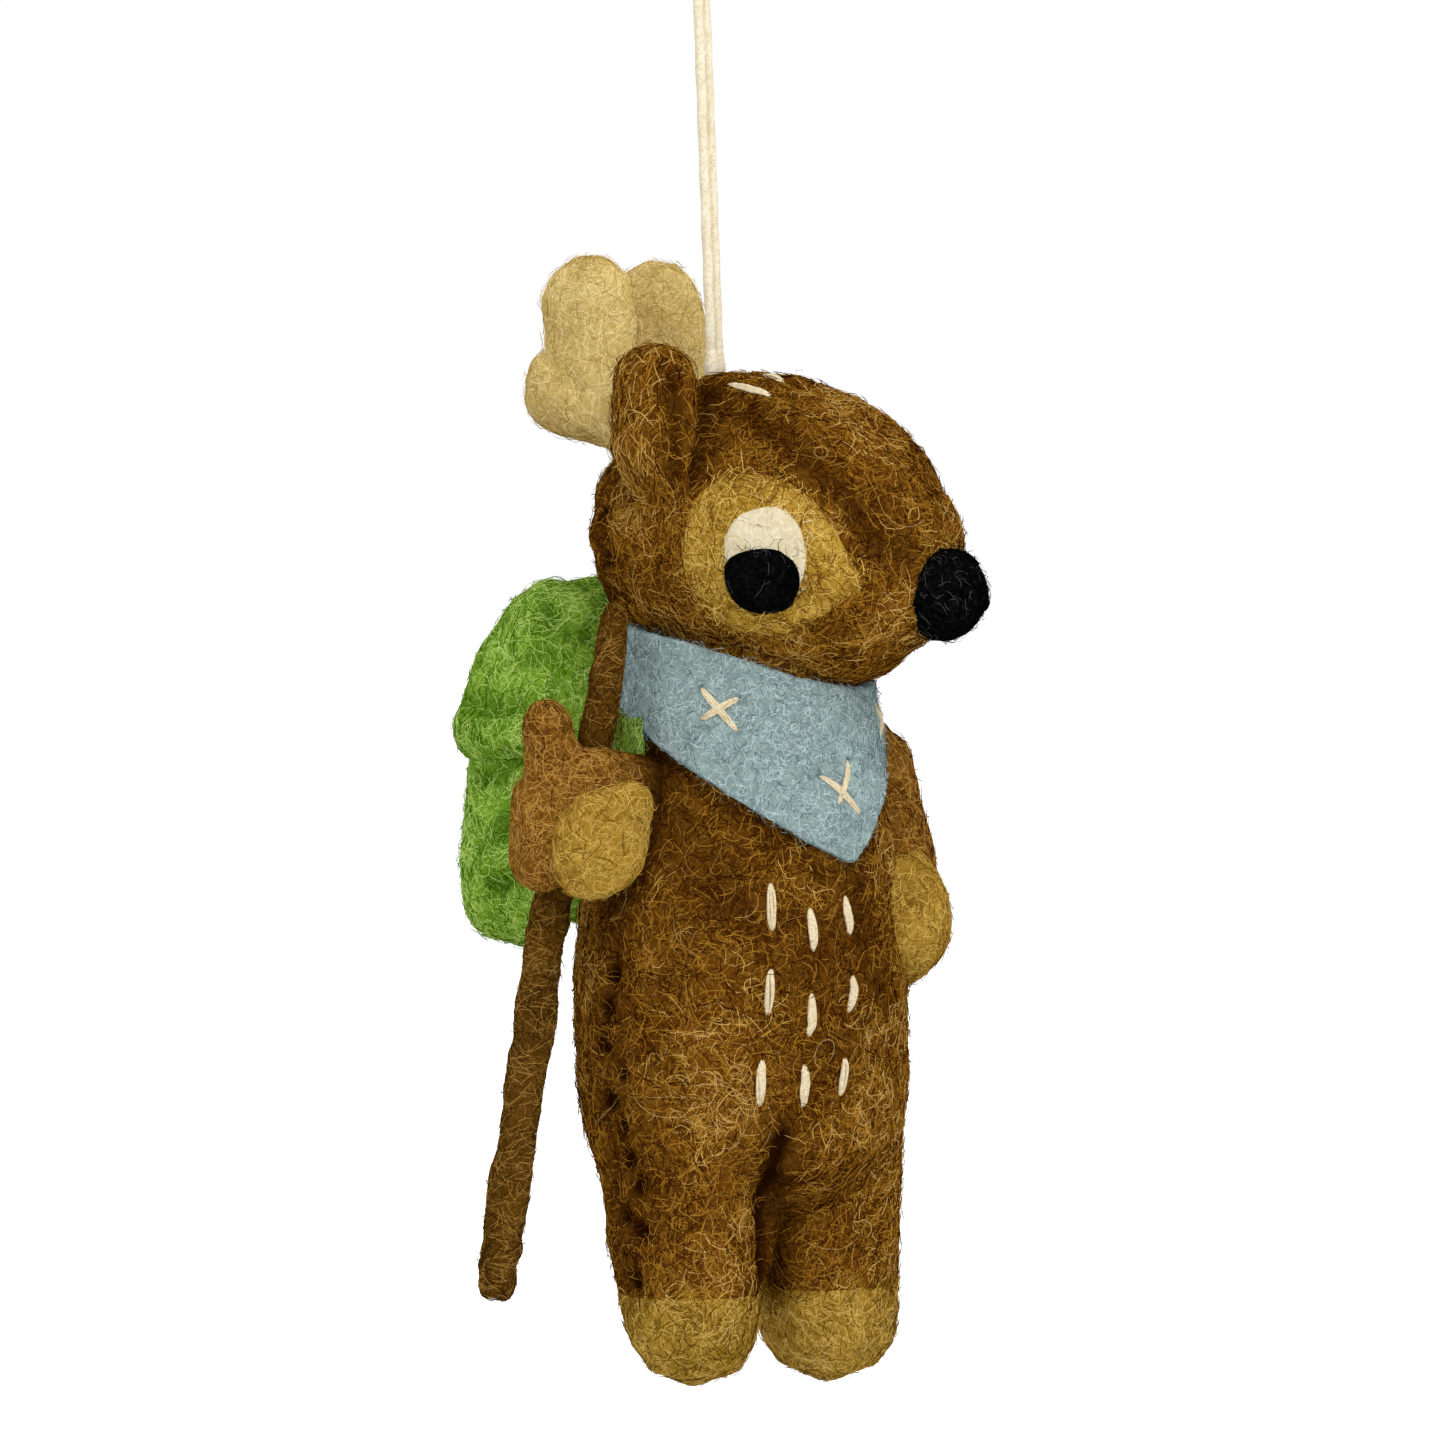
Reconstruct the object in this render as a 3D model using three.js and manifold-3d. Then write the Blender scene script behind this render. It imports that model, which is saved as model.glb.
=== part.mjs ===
// Hanging fawn ornament in felted wool, modelled in millimetres.
// The fawn faces -Y, its own left side is +X and +Z is up. Inside the figure group heights are measured
// from the soles of the feet; the group is then lowered so that the top of the hanging loop is the origin.
import * as THREE from 'three';
import { mergeVertices } from 'three/addons/utils/BufferGeometryUtils.js';
import Module from 'manifold-3d';

const wasm = await Module();
wasm.setup();

// Clearances and wool walls
const gap = 0.3;
const feltWall = 1.8;
const overrun = 4;
const mergeShare = 1e-4;

// Torso: a stuffed felt tube, widest at the hips
const torsoBottom = 27;
const hipHeight = 36;
const waistHeight = 46;
const chestHeight = 58;
const shoulderHeight = 69;
const collarHeight = 76;
const neckHeight = 81;
const torsoEndDome = 6;
const neckDome = 2.4;
const hipHalfWidth = 19.3;
const hipHalfDepth = 17.3;
const chestHalfWidth = 17.4;
const chestHalfDepth = 15.9;
const shoulderHalfWidth = 14.4;
const shoulderHalfDepth = 13.3;
const neckHalfWidth = 12;
const neckHalfDepth = 11.8;
const torsoBottomShare = 0.94;

// Legs and their wool hooves
const legHalfWidth = 9;
const legHalfDepth = 8.4;
const legForward = 2.2;
const ankleShare = 0.88;
const ankleHeight = 7;
const kneeHeight = 15;
const hoofHeight = 9.8;
const legRootRise = 3;

// Head: a teardrop that runs forward to the nose and is turned towards the fawn's left
const headYawDegrees = 25;
const headCentreForward = 1;
const headRise = 13.8;
const headHalfHeight = 17.7;
const headHalfWidth = 16.8;
const headBack = 17;
const snoutReach = 21;
const headBackDome = 5;
const snoutDome = 3;
const headReachShares = [-0.7, -0.36, 0, 0.28, 0.5, 0.7, 0.86, 1];
const headSizeShares = [0.78, 0.94, 1, 0.985, 0.925, 0.815, 0.66, 0.47];
const headDropShares = [0.02, -0.01, 0, 0.005, 0.035, 0.085, 0.15, 0.25];

// Nose
const noseHalfLength = 4.3;
const noseHalfWidth = 4.7;
const noseHalfHeight = 5.1;
const noseSeat = 3.7;
const noseDrop = 7.2;
const noseSizeShares = [0.87, 1, 0.87];

// Eyes: a leaf-shaped patch, a white and a pupil, needled on in thin layers
const patchThickness = 1;
const patchBack = 0.5;
const patchLength = 18.6;
const patchHalfHeight = 9;
const patchDrop = 2.6;
const leafShares = [
  [[0.8, 0.6], [0.62, 1], [0.4, 1]],
  [[0.12, 1], [0, 0.6], [0, 0]],
  [[0, -0.6], [0.14, -1], [0.4, -1]],
  [[0.64, -1], [0.9, -0.7], [1, -0.4]],
];
const whiteThickness = 0.9;
const whiteReach = 10.9;
const whiteDrop = 2.6;
const whiteHalfLength = 4.4;
const whiteHalfHeight = 5;
const pupilThickness = 1.7;
const pupilReach = 10.4;
const pupilDrop = 5.6;
const pupilHalfLength = 3.8;
const pupilHalfHeight = 3.7;

// Ears and antlers: each place is a share of the head's back length, half width and half height
const earHalfWidth = 4.9;
const earHalfThickness = 3.5;
const earDome = 4;
const uprightEarShares = [[-0.19, -0.92, 0.18], [-0.25, -0.89, 0.55], [-0.29, -0.81, 0.92]];
const loweredEarShares = [[-0.2, 0.68, 0.38], [-0.27, 0.98, 0.5], [-0.35, 1.22, 0.52]];
const antlerHalfThickness = 3.3;
const antlerAsideShare = 0.45;
const antlerRootShares = [-0.56, 0.44];
const antlerPalmShares = [-0.9, 0.84];
const antlerTopShares = [-1.015, 1.39];
const antlerBackRootShares = [-0.84, 0.72];
const antlerBackTipShares = [-1.19, 0.83];
const antlerPalmRadius = 5;
const antlerTopRadius = 5.6;
const antlerBackRadius = 4.9;
const antlerDomeShare = 0.9;

// Arms, stick and hand hooves are placed by an angle round the torso, 0 in front and 90 at the fawn's
// left, by a share of the shoulder height and by a share of their own radius that they stand out
const leftArmRadius = 4.7;
const leftArmAngles = [77, 76, 75, 71, 68];
const leftArmHeightShares = [1.007, 0.928, 0.83, 0.735, 0.675];
const leftArmOutShares = [0, 0.25, 0.17, -0.05, -0.3];
const leftArmRadiusShares = [0.78, 0.92, 0.98, 1, 0.94];
const leftHoofAngle = 58;
const leftHoofHeightShare = 0.75;
const leftHoofOutShare = 0.12;
const leftHoofHalfSize = 6.6;
const leftHoofSizeShares = [0.52, 0.48, 1];

// The right arm is bent round the walking stick, with a thumb that stands up behind it
const rightArmRadius = 3.6;
const rightArmAngles = [-76, -79, -84, -90, -92];
const rightArmHeightShares = [0.965, 0.991, 0.988, 0.936, 0.849];
const rightArmOutShares = [-0.1, 1.15, 2.38, 2.93, 2.65];
const rightArmRadiusShares = [1.05, 1, 1, 1.02, 0.9];
const thumbRadius = 3;
const thumbAngles = [-89, -89];
const thumbHeightShares = [0.957, 1.052];
const thumbOutShares = [3.4, 4.05];
const rightHoofAngle = -79;
const rightHoofHeightShare = 0.882;
const rightHoofOutShare = 1.9;
const rightHoofHalfSize = 6.4;
const rightHoofSizeShares = [0.92, 0.62, 1];

// Walking stick: wool wound round a wire
const stickRadius = 2.15;
const stickWireRadius = 0.7;
const stickAngles = [-100, -100, -99, -98, -94, -84, -85];
const stickHeightShares = [0.159, 0.348, 0.551, 0.725, 0.899, 1.087, 1.239];
const stickOutShares = [5.95, 5.05, 3.45, 3.05, 2.85, 3.75, 3.45];
const stickRadiusShares = [1.12, 1.08, 1.05, 1.02, 0.98, 0.95, 0.92];

// Backpack on the fawn's back, with a puffed flap
const packStandOff = 0.5;
const packBottom = 50.2;
const packBulge = 58;
const packShoulder = 70;
const packEndDome = 4;
const packHalfWidth = 17.8;
const packHalfDepth = 10;
const packBottomShare = 0.9;
const packTopShare = 0.92;
const flapBottom = 69;
const flapBulge = 73;
const flapTop = 84.5;
const flapTopShare = 0.72;
const flapDome = 4.4;
const flapHalfWidth = 18.8;
const flapHalfDepth = 10.8;
const packRoundness = 2.6;

// Shoulder straps: flat wool bands that follow the torso, as angles round it and shoulder height shares
const strapHalfWidth = 2.1;
const strapHalfThickness = 0.6;
const strapLift = 0.15;
const strapAngles = [142, 126, 108, 95, 90, 96, 112, 130];
const strapHeightShares = [1.15, 1.14, 1.115, 1.06, 0.985, 0.91, 0.85, 0.81];

// Bandana: a thin felt triangle folded round the neck, its point on the chest
const bandanaThickness = 1.3;
const bandanaFrontRise = 1.4;
const bandanaBackRise = 7.4;
const bandanaPointDrop = 17.8;
const bandanaSideDrop = 4;
const bandanaPointAngle = 1;
const bandanaPointSpread = 76;
const bandanaLapAngle = 168;
const bandanaFlare = 0.4;
const bandanaEdgePower = 0.9;
const bandanaColumns = 30;
const bandanaRows = 4;

// Embroidery: cream floss stitches
const stitchHalfWidth = 0.5;
const stitchHalfThickness = 0.42;
const stitchEase = 0.05;
const chestAngles = [[-24.2, -9, 6], [-25.2, -10.5, 5.6], [-27.8, -12.4, 3.4]];
const chestDropShares = [[0.25, 0.4, 0.315], [0.785, 0.945, 0.82], [1.37, 1.39, 1.35]];
const chestStitchLength = 5;
const chestLengthShares = [1, 0.92, 0.8];
const chestLeanDegrees = [-2, 4, 3];
const crossArm = 2.6;
const crossAngles = [-44.7, -1.3, 50];
const crossDropShares = [0.08, 0.567, 0.11];
const crossLeanDegrees = [8, -6, -8];
const crownStitchLength = 5.8;
const crownLengthShares = [1, 0.75];
const crownReachShares = [0.255, 0.3];
const crownAsideShares = [-0.47, -0.2];

// Hanging loop: one cotton cord, doubled, with a knot in the head's stuffing
const cordDiameter = 1.2;
const cordSides = 8;
const strandSpacing = 1.6;
const loopEntry = 5.2;
const loopStraight = 42.5;
const loopNeck = 6;
const loopEyeRadius = 3;
const loopSteps = 36;
const loopStraightSteps = 5;
const loopEyeSteps = 6;
const loopLeanShare = 0.045;
const loopNeckShares = [[0.35, 0.41], [0.7, 0.675]];
const knotRadius = 2.3;
const knotDepth = 6.5;

// Mesh fineness
const outerSides = 20;
const innerSides = 12;
const limbSides = 12;
const trimSides = 6;
const facetMargin = 1;
const fullDome = [0.35, 0.75];
const trimDome = [0.6];

const finishes = {
  brownFelt: { color: 0x6a431c, roughness: 0.95 },
  stuffing: { color: 0xd8cbb0, roughness: 1 },
  hoofWool: { color: 0xa5803a, roughness: 0.95 },
  antlerWool: { color: 0xcbae74, roughness: 0.95 },
  patchWool: { color: 0xb08a34, roughness: 0.95 },
  whiteWool: { color: 0xe8dfc4, roughness: 0.95 },
  blackWool: { color: 0x141414, roughness: 0.9 },
  greenWool: { color: 0x5f8f2c, roughness: 0.95 },
  blueFelt: { color: 0x8499a0, roughness: 0.95 },
  floss: { color: 0xe6d8b4, roughness: 0.7 },
  cord: { color: 0xefe6cc, roughness: 0.8 },
  wire: { color: 0x8f9296, roughness: 0.4, metalness: 0.9 },
};

const upward = new THREE.Vector3(0, 0, 1);
const sideways = new THREE.Vector3(1, 0, 0);
const sideNames = { left: 1, right: -1 };
const figure = new THREE.Group();

// Turns a closed geometry into a solid that can be joined and cut
function solidOf(geometry) {
  const bare = geometry.clone();
  bare.deleteAttribute('normal');
  bare.deleteAttribute('uv');
  const merged = mergeVertices(bare, mergeShare);
  return new wasm.Manifold(new wasm.Mesh({
    numProp: 3,
    vertProperties: Float32Array.from(merged.attributes.position.array),
    triVerts: Uint32Array.from(merged.index.array),
  }));
}

// Turns a solid back into a geometry
function geometryOf(solid) {
  const mesh = solid.getMesh();
  const geometry = new THREE.BufferGeometry();
  geometry.setAttribute('position', new THREE.BufferAttribute(Float32Array.from(mesh.vertProperties), 3));
  geometry.setIndex(new THREE.BufferAttribute(Uint32Array.from(mesh.triVerts), 1));
  return geometry;
}

function addPiece(name, solid, finish) {
  const mesh = new THREE.Mesh(geometryOf(solid), new THREE.MeshStandardMaterial({ metalness: 0, ...finish }));
  mesh.name = name;
  figure.add(mesh);
}

// Reads one number from a smooth curve through evenly spaced values
function smoothValue(values, share) {
  const points = values.map((value) => new THREE.Vector3(value, 0, 0));
  return new THREE.CatmullRomCurve3(points, false, 'catmullrom').getPoint(share).x;
}

// Stations along a spine: a centre, half sizes, the direction of the wide half and the squareness
function spineStations(places, wides, deeps, options = {}) {
  const spine = new THREE.CatmullRomCurve3(places, false, 'catmullrom');
  const count = (places.length - 1) * (options.ringsPerStation ?? 1);
  return Array.from({ length: count + 1 }, (unused, index) => {
    const share = index / count;
    return {
      at: spine.getPoint(share),
      along: options.along ?? spine.getTangent(share),
      wide: smoothValue(wides, share),
      deep: smoothValue(deeps, share),
      across: options.acrossAt ? options.acrossAt(share) : options.across,
      roundness: options.roundness ?? 2,
    };
  });
}

// A ring of points round one station, drawn out by `grow`, scaled by `size` and moved along by `shift`
function ringPoints(station, sides, grow, size, shift) {
  const along = station.along;
  const deepWay = along.clone().cross(station.across).normalize();
  const wideWay = deepWay.clone().cross(along).normalize();
  const power = 2 / station.roundness;
  return Array.from({ length: sides }, (unused, side) => {
    const angle = (side / sides) * 2 * Math.PI;
    const cosine = Math.sign(Math.cos(angle)) * Math.abs(Math.cos(angle)) ** power;
    const sine = Math.sign(Math.sin(angle)) * Math.abs(Math.sin(angle)) ** power;
    return station.at.clone()
      .addScaledVector(along, shift)
      .addScaledVector(wideWay, cosine * (station.wide + grow) * size)
      .addScaledVector(deepWay, sine * (station.deep + grow) * size);
  });
}

// A closed swelling tube through stations, with a dome at each end, drawn out by `grow` all round
function loftSolid(stations, sides, startDome, endDome, grow = 0, domeShares = fullDome) {
  const first = stations[0];
  const last = stations[stations.length - 1];
  const rings = [];
  const domeSize = (share) => Math.sqrt(1 - share * share);
  for (const share of [...domeShares].reverse()) {
    rings.push(ringPoints(first, sides, grow, domeSize(share), -share * (startDome + grow)));
  }
  for (const station of stations) {
    rings.push(ringPoints(station, sides, grow, 1, 0));
  }
  for (const share of domeShares) {
    rings.push(ringPoints(last, sides, grow, domeSize(share), share * (endDome + grow)));
  }
  const startPole = first.at.clone().addScaledVector(first.along, -(startDome + grow));
  const endPole = last.at.clone().addScaledVector(last.along, endDome + grow);
  const points = [...rings.flat(), startPole, endPole];
  const startIndex = points.length - 2;
  const endIndex = points.length - 1;
  const lastRing = (rings.length - 1) * sides;
  const indices = [];
  for (let side = 0; side < sides; side += 1) {
    const next = (side + 1) % sides;
    indices.push(startIndex, next, side);
    indices.push(endIndex, lastRing + side, lastRing + next);
    for (let ring = 0; ring < rings.length - 1; ring += 1) {
      const here = ring * sides;
      const above = here + sides;
      indices.push(here + side, here + next, above + next);
      indices.push(here + side, above + next, above + side);
    }
  }
  const geometry = new THREE.BufferGeometry().setFromPoints(points);
  geometry.setIndex(indices);
  return solidOf(geometry);
}

// A wool blob: a sphere drawn out to three half sizes
function blobSolid(centre, halfSizes, grow = 0, sides = limbSides) {
  const geometry = new THREE.SphereGeometry(1, sides, sides / 2);
  geometry.scale(...halfSizes.map((size) => size + grow));
  geometry.translate(centre.x, centre.y, centre.z);
  return solidOf(geometry);
}

// A block given by its lowest and highest corners
function blockSolid(low, high) {
  const size = high.map((value, index) => value - low[index]);
  const geometry = new THREE.BoxGeometry(...size);
  geometry.translate(...low.map((value, index) => value + size[index] / 2));
  return solidOf(geometry);
}

// A sheet of even thickness over a grid of points and outward directions
function sheetSolid(columns, rows, placeAt, thickness) {
  const points = [];
  for (const layer of [0, thickness]) {
    for (let row = 0; row <= rows; row += 1) {
      for (let column = 0; column <= columns; column += 1) {
        const { at, out } = placeAt(column / columns, row / rows);
        points.push(at.clone().addScaledVector(out, layer));
      }
    }
  }
  const width = columns + 1;
  const outer = width * (rows + 1);
  const indices = [];
  const quad = (a, b, c, d) => indices.push(a, b, c, a, c, d);
  for (let row = 0; row < rows; row += 1) {
    for (let column = 0; column < columns; column += 1) {
      const corner = row * width + column;
      quad(outer + corner, outer + corner + 1, outer + corner + 1 + width, outer + corner + width);
      quad(corner, corner + width, corner + width + 1, corner + 1);
    }
  }
  const edge = [];
  for (let column = 0; column < columns; column += 1) edge.push(column);
  for (let row = 0; row < rows; row += 1) edge.push(row * width + columns);
  for (let column = columns; column > 0; column -= 1) edge.push(rows * width + column);
  for (let row = rows; row > 0; row -= 1) edge.push(row * width);
  edge.forEach((corner, index) => {
    const next = edge[(index + 1) % edge.length];
    quad(corner, next, outer + next, outer + corner);
  });
  const geometry = new THREE.BufferGeometry().setFromPoints(points);
  geometry.setIndex(indices);
  return solidOf(geometry);
}

// Torso
const torsoLevels = [
  torsoBottom, hipHeight, waistHeight, chestHeight, shoulderHeight, collarHeight, neckHeight,
];
const collarHalfWidth = (shoulderHalfWidth + neckHalfWidth) / 2;
const collarHalfDepth = (shoulderHalfDepth + neckHalfDepth) / 2;
const torsoWides = [
  hipHalfWidth * torsoBottomShare, hipHalfWidth, hipHalfWidth, chestHalfWidth,
  shoulderHalfWidth, collarHalfWidth, neckHalfWidth,
];
const torsoDeeps = [
  hipHalfDepth * torsoBottomShare, hipHalfDepth, hipHalfDepth, chestHalfDepth,
  shoulderHalfDepth, collarHalfDepth, neckHalfDepth,
];

function torsoSolid(sides, grow) {
  const places = torsoLevels.map((level) => new THREE.Vector3(0, 0, level));
  const stations = spineStations(places, torsoWides, torsoDeeps, { across: sideways });
  return loftSolid(stations, sides, torsoEndDome, neckDome, grow);
}

// The place on the torso at an angle round it and a height, moved out by `offset`, with its outward way
function torsoPlace(angleDegrees, height, offset = 0) {
  const last = torsoLevels.length - 1;
  const next = torsoLevels.findIndex((level) => level > height);
  const index = next < 0 ? last - 1 : Math.max(next - 1, 0);
  const local = (height - torsoLevels[index]) / (torsoLevels[index + 1] - torsoLevels[index]);
  const share = Math.min(Math.max((index + local) / last, 0), 1);
  const wide = smoothValue(torsoWides, share);
  const deep = smoothValue(torsoDeeps, share);
  const angle = THREE.MathUtils.degToRad(angleDegrees);
  const out = new THREE.Vector3(Math.sin(angle) / wide, -Math.cos(angle) / deep, 0).normalize();
  const at = new THREE.Vector3(wide * Math.sin(angle), -deep * Math.cos(angle), height);
  return { at: at.addScaledVector(out, offset), out };
}

// A path beside the torso from angles, shoulder height shares and offsets in shares of a radius
function besidePath(angles, heightShares, outShares, radius) {
  return angles.map((angle, index) => (
    torsoPlace(angle, heightShares[index] * shoulderHeight, outShares[index] * radius).at));
}

const torsoClear = torsoSolid(outerSides, gap);
const torsoWall = torsoSolid(outerSides, 0).subtract(torsoSolid(innerSides, -feltWall));
const panelReach = hipHalfWidth + overrun;
const panelTop = neckHeight + overrun;
const frontHalf = blockSolid([-panelReach, -panelReach, 0], [panelReach, -gap / 2, panelTop]);
const backHalf = blockSolid([-panelReach, gap / 2, 0], [panelReach, panelReach, panelTop]);
addPiece('body_front_felt', torsoWall.intersect(frontHalf), finishes.brownFelt);
addPiece('body_back_felt', torsoWall.intersect(backHalf), finishes.brownFelt);
addPiece('body_stuffing', torsoSolid(innerSides, -feltWall - gap), finishes.stuffing);

// Legs: side by side under the torso, each with a felt sleeve, stuffing and a wool hoof
function legSolid(side, sides, grow) {
  const aside = side * (legHalfWidth + gap / 2);
  const rootHeight = torsoBottom + legRootRise;
  const places = [ankleHeight, kneeHeight, (kneeHeight + rootHeight) / 2, rootHeight].map((height) => (
    new THREE.Vector3(aside, -legForward, height)));
  const sizeShares = [ankleShare, (ankleShare + 1) / 2, 1, 1];
  const wides = sizeShares.map((share) => share * legHalfWidth);
  const deeps = sizeShares.map((share) => share * legHalfDepth);
  const stations = spineStations(places, wides, deeps, { across: sideways });
  return loftSolid(stations, sides, ankleHeight, legHalfWidth / 2, grow);
}

// What lies above or below a height
function aboveHeight(height) {
  return blockSolid([-panelReach, -panelReach, height], [panelReach, panelReach, panelTop]);
}

function belowHeight(height) {
  return blockSolid([-panelReach, -panelReach, -overrun], [panelReach, panelReach, height]);
}

const sleeveBottom = hoofHeight + gap / 2;
const torsoClearCoarse = torsoSolid(innerSides, gap + facetMargin);
for (const [name, side] of Object.entries(sideNames)) {
  const outer = legSolid(side, outerSides, 0);
  const hollow = legSolid(side, innerSides, -feltWall).intersect(aboveHeight(sleeveBottom + feltWall));
  const sleeve = outer.intersect(aboveHeight(sleeveBottom)).subtract(hollow).subtract(torsoClear);
  const filling = legSolid(side, innerSides, -feltWall - gap)
    .intersect(aboveHeight(sleeveBottom + feltWall + gap))
    .subtract(torsoClearCoarse);
  addPiece(`leg_${name}_felt`, sleeve, finishes.brownFelt);
  addPiece(`leg_${name}_stuffing`, filling, finishes.stuffing);
  addPiece(`foot_hoof_${name}`, outer.intersect(belowHeight(hoofHeight - gap / 2)), finishes.hoofWool);
}

// Head frame: `reach` runs towards the nose, `aside` towards the fawn's left
const headYaw = THREE.MathUtils.degToRad(headYawDegrees);
const headForward = new THREE.Vector3(Math.sin(headYaw), -Math.cos(headYaw), 0);
const headAside = new THREE.Vector3(Math.cos(headYaw), Math.sin(headYaw), 0);
const headHeight = neckHeight + headRise;

function headPlace(reach, aside, height) {
  return headForward.clone().multiplyScalar(headCentreForward + reach)
    .addScaledVector(headAside, aside)
    .addScaledVector(upward, height);
}

// A place given as shares of the head's back length, half width and half height
function headSharePlace(reachShare, asideShare, riseShare) {
  const height = headHeight + riseShare * headHalfHeight;
  return headPlace(reachShare * headBack, asideShare * headHalfWidth, height);
}

const headReaches = headReachShares.map((share) => share * (share < 0 ? headBack : snoutReach));

function headSolid(sides, grow) {
  const places = headReaches.map((reach, index) => (
    headPlace(reach, 0, headHeight - headDropShares[index] * headHalfHeight)));
  const wides = headSizeShares.map((share) => share * headHalfWidth);
  const deeps = headSizeShares.map((share) => share * headHalfHeight);
  const stations = spineStations(places, wides, deeps, { across: headAside, along: headForward });
  return loftSolid(stations, sides, headBackDome, snoutDome, grow);
}

// Height of the head's top along its middle seam
function headTop(reach) {
  const index = Math.max(headReaches.findIndex((value) => value > reach) - 1, 0);
  const local = (reach - headReaches[index]) / (headReaches[index + 1] - headReaches[index]);
  const share = (index + local) / (headReaches.length - 1);
  const size = smoothValue(headSizeShares, share) - smoothValue(headDropShares, share);
  return headHeight + size * headHalfHeight;
}

// Anchor of the hanging loop: a knot in the stuffing with two strands up through the crown
const cordRadius = cordDiameter / 2;
const strandAsides = [-strandSpacing / 2, strandSpacing / 2];
const crownHeight = headTop(-loopEntry);
const entryCentre = headPlace(-loopEntry, 0, crownHeight);
const pivotHeight = crownHeight + gap + cordRadius;

function loopPlace(aside, height) {
  const lean = Math.max(height - pivotHeight, 0) * loopLeanShare;
  return new THREE.Vector3(entryCentre.x - lean, entryCentre.y, height).addScaledVector(headAside, aside);
}

function strandSolid(aside, radius, low, high) {
  const geometry = new THREE.CylinderGeometry(radius, radius, high - low, cordSides);
  geometry.rotateX(Math.PI / 2);
  const foot = loopPlace(aside, low);
  geometry.translate(foot.x, foot.y, (low + high) / 2);
  return solidOf(geometry);
}

function anchorSolid(grow, top) {
  const knotHeight = crownHeight - knotDepth;
  const centre = new THREE.Vector3(entryCentre.x, entryCentre.y, knotHeight);
  const knot = blobSolid(centre, [knotRadius, knotRadius, knotRadius], grow, cordSides);
  return strandAsides.reduce(
    (whole, aside) => whole.add(strandSolid(aside, cordRadius + grow, knotHeight, top)), knot);
}

// Head: left and right felt, sewn over the crown, round the stuffing
const headClear = headSolid(outerSides, gap);
const anchorHole = anchorSolid(gap, crownHeight + overrun);
const headWall = headSolid(outerSides, 0)
  .subtract(headSolid(innerSides, -feltWall))
  .subtract(torsoClear)
  .subtract(anchorHole);
const headLength = headBack + snoutReach;

function headHalf(side) {
  const geometry = new THREE.BoxGeometry(2 * headLength, headLength, 2 * headLength);
  geometry.translate(0, side * (headLength / 2 + gap / 2), 0);
  geometry.applyMatrix4(new THREE.Matrix4().makeBasis(headForward, headAside, upward));
  geometry.translate(0, 0, headHeight);
  return solidOf(geometry);
}

addPiece('head_left_felt', headWall.intersect(headHalf(1)), finishes.brownFelt);
addPiece('head_right_felt', headWall.intersect(headHalf(-1)), finishes.brownFelt);
const headFilling = headSolid(innerSides, -feltWall - gap).subtract(torsoClearCoarse).subtract(anchorHole);
addPiece('head_stuffing', headFilling, finishes.stuffing);
addPiece('loop_anchor_knot', anchorSolid(0, crownHeight - gap / 2), finishes.cord);

// Nose
const noseDome = noseHalfLength / 2;
const noseStations = spineStations(
  [-noseDome, 0, noseDome].map((shift) => headPlace(snoutReach + noseSeat + shift, 0, headHeight - noseDrop)),
  noseSizeShares.map((share) => share * noseHalfWidth),
  noseSizeShares.map((share) => share * noseHalfHeight),
  { across: headAside });
const nose = loftSolid(noseStations, limbSides, noseDome, noseDome).subtract(headClear);
addPiece('nose', nose, finishes.blackWool);

// Stands an outline drawn in reach and height on the head's middle plane and pulls it out to one side
function sidePrism(outline, side) {
  const depth = headHalfWidth + pupilThickness + overrun;
  const geometry = new THREE.ExtrudeGeometry(outline, { depth, bevelEnabled: false, curveSegments: 4 });
  const outward = headAside.clone().multiplyScalar(side);
  geometry.applyMatrix4(new THREE.Matrix4().makeBasis(headForward, upward, outward));
  geometry.translate(0, 0, headHeight);
  if (side < 0) return solidOf(geometry);
  const flipped = mergeVertices(geometry.deleteAttribute('normal').deleteAttribute('uv'), mergeShare);
  flipped.setIndex(Array.from(flipped.index.array).reverse());
  return solidOf(flipped);
}

// A leaf outline with its point towards the nose
function leafPrism(side) {
  const place = ([lengthShare, riseShare]) => [
    headCentreForward + patchBack + lengthShare * patchLength, riseShare * patchHalfHeight - patchDrop,
  ];
  const outline = new THREE.Shape();
  outline.moveTo(...place(leafShares[leafShares.length - 1][2]));
  for (const curve of leafShares) outline.bezierCurveTo(...curve.flatMap(place));
  return sidePrism(outline, side);
}

function ovalPrism(side, reach, drop, halfLength, halfHeight, grow) {
  const outline = new THREE.Shape();
  outline.absellipse(headCentreForward + reach, -drop, halfLength + grow, halfHeight + grow, 0, 2 * Math.PI);
  return sidePrism(outline, side);
}

// Eyes, in layers on the head's own surface
function layerSolid(low, high, prism) {
  return prism.intersect(headSolid(outerSides, high)).subtract(headSolid(outerSides, low));
}

const patchTop = gap + patchThickness;
const eyeBase = patchTop + gap;
for (const [name, side] of Object.entries(sideNames)) {
  const white = ovalPrism(side, whiteReach, whiteDrop, whiteHalfLength, whiteHalfHeight, 0);
  const pupil = ovalPrism(side, pupilReach, pupilDrop, pupilHalfLength, pupilHalfHeight, 0);
  const pupilClear = ovalPrism(side, pupilReach, pupilDrop, pupilHalfLength, pupilHalfHeight, gap);
  const whiteLayer = layerSolid(eyeBase, eyeBase + whiteThickness, white.subtract(pupilClear));
  addPiece(`eye_patch_${name}`, layerSolid(gap, patchTop, leafPrism(side)), finishes.patchWool);
  addPiece(`eye_white_${name}`, whiteLayer, finishes.whiteWool);
  addPiece(`pupil_${name}`, layerSolid(eyeBase, eyeBase + pupilThickness, pupil), finishes.blackWool);
}

// Ears: the right one stands up, the left one lies out to the side
function earSolid(shares, grow) {
  const places = shares.map((share) => headSharePlace(...share));
  const wides = places.map(() => earHalfWidth);
  const deeps = places.map(() => earHalfThickness);
  const stations = spineStations(places, wides, deeps, { across: headForward });
  return loftSolid(stations, limbSides, earDome / 2, earDome, grow);
}

const earShares = { left: loweredEarShares, right: uprightEarShares };

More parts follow.
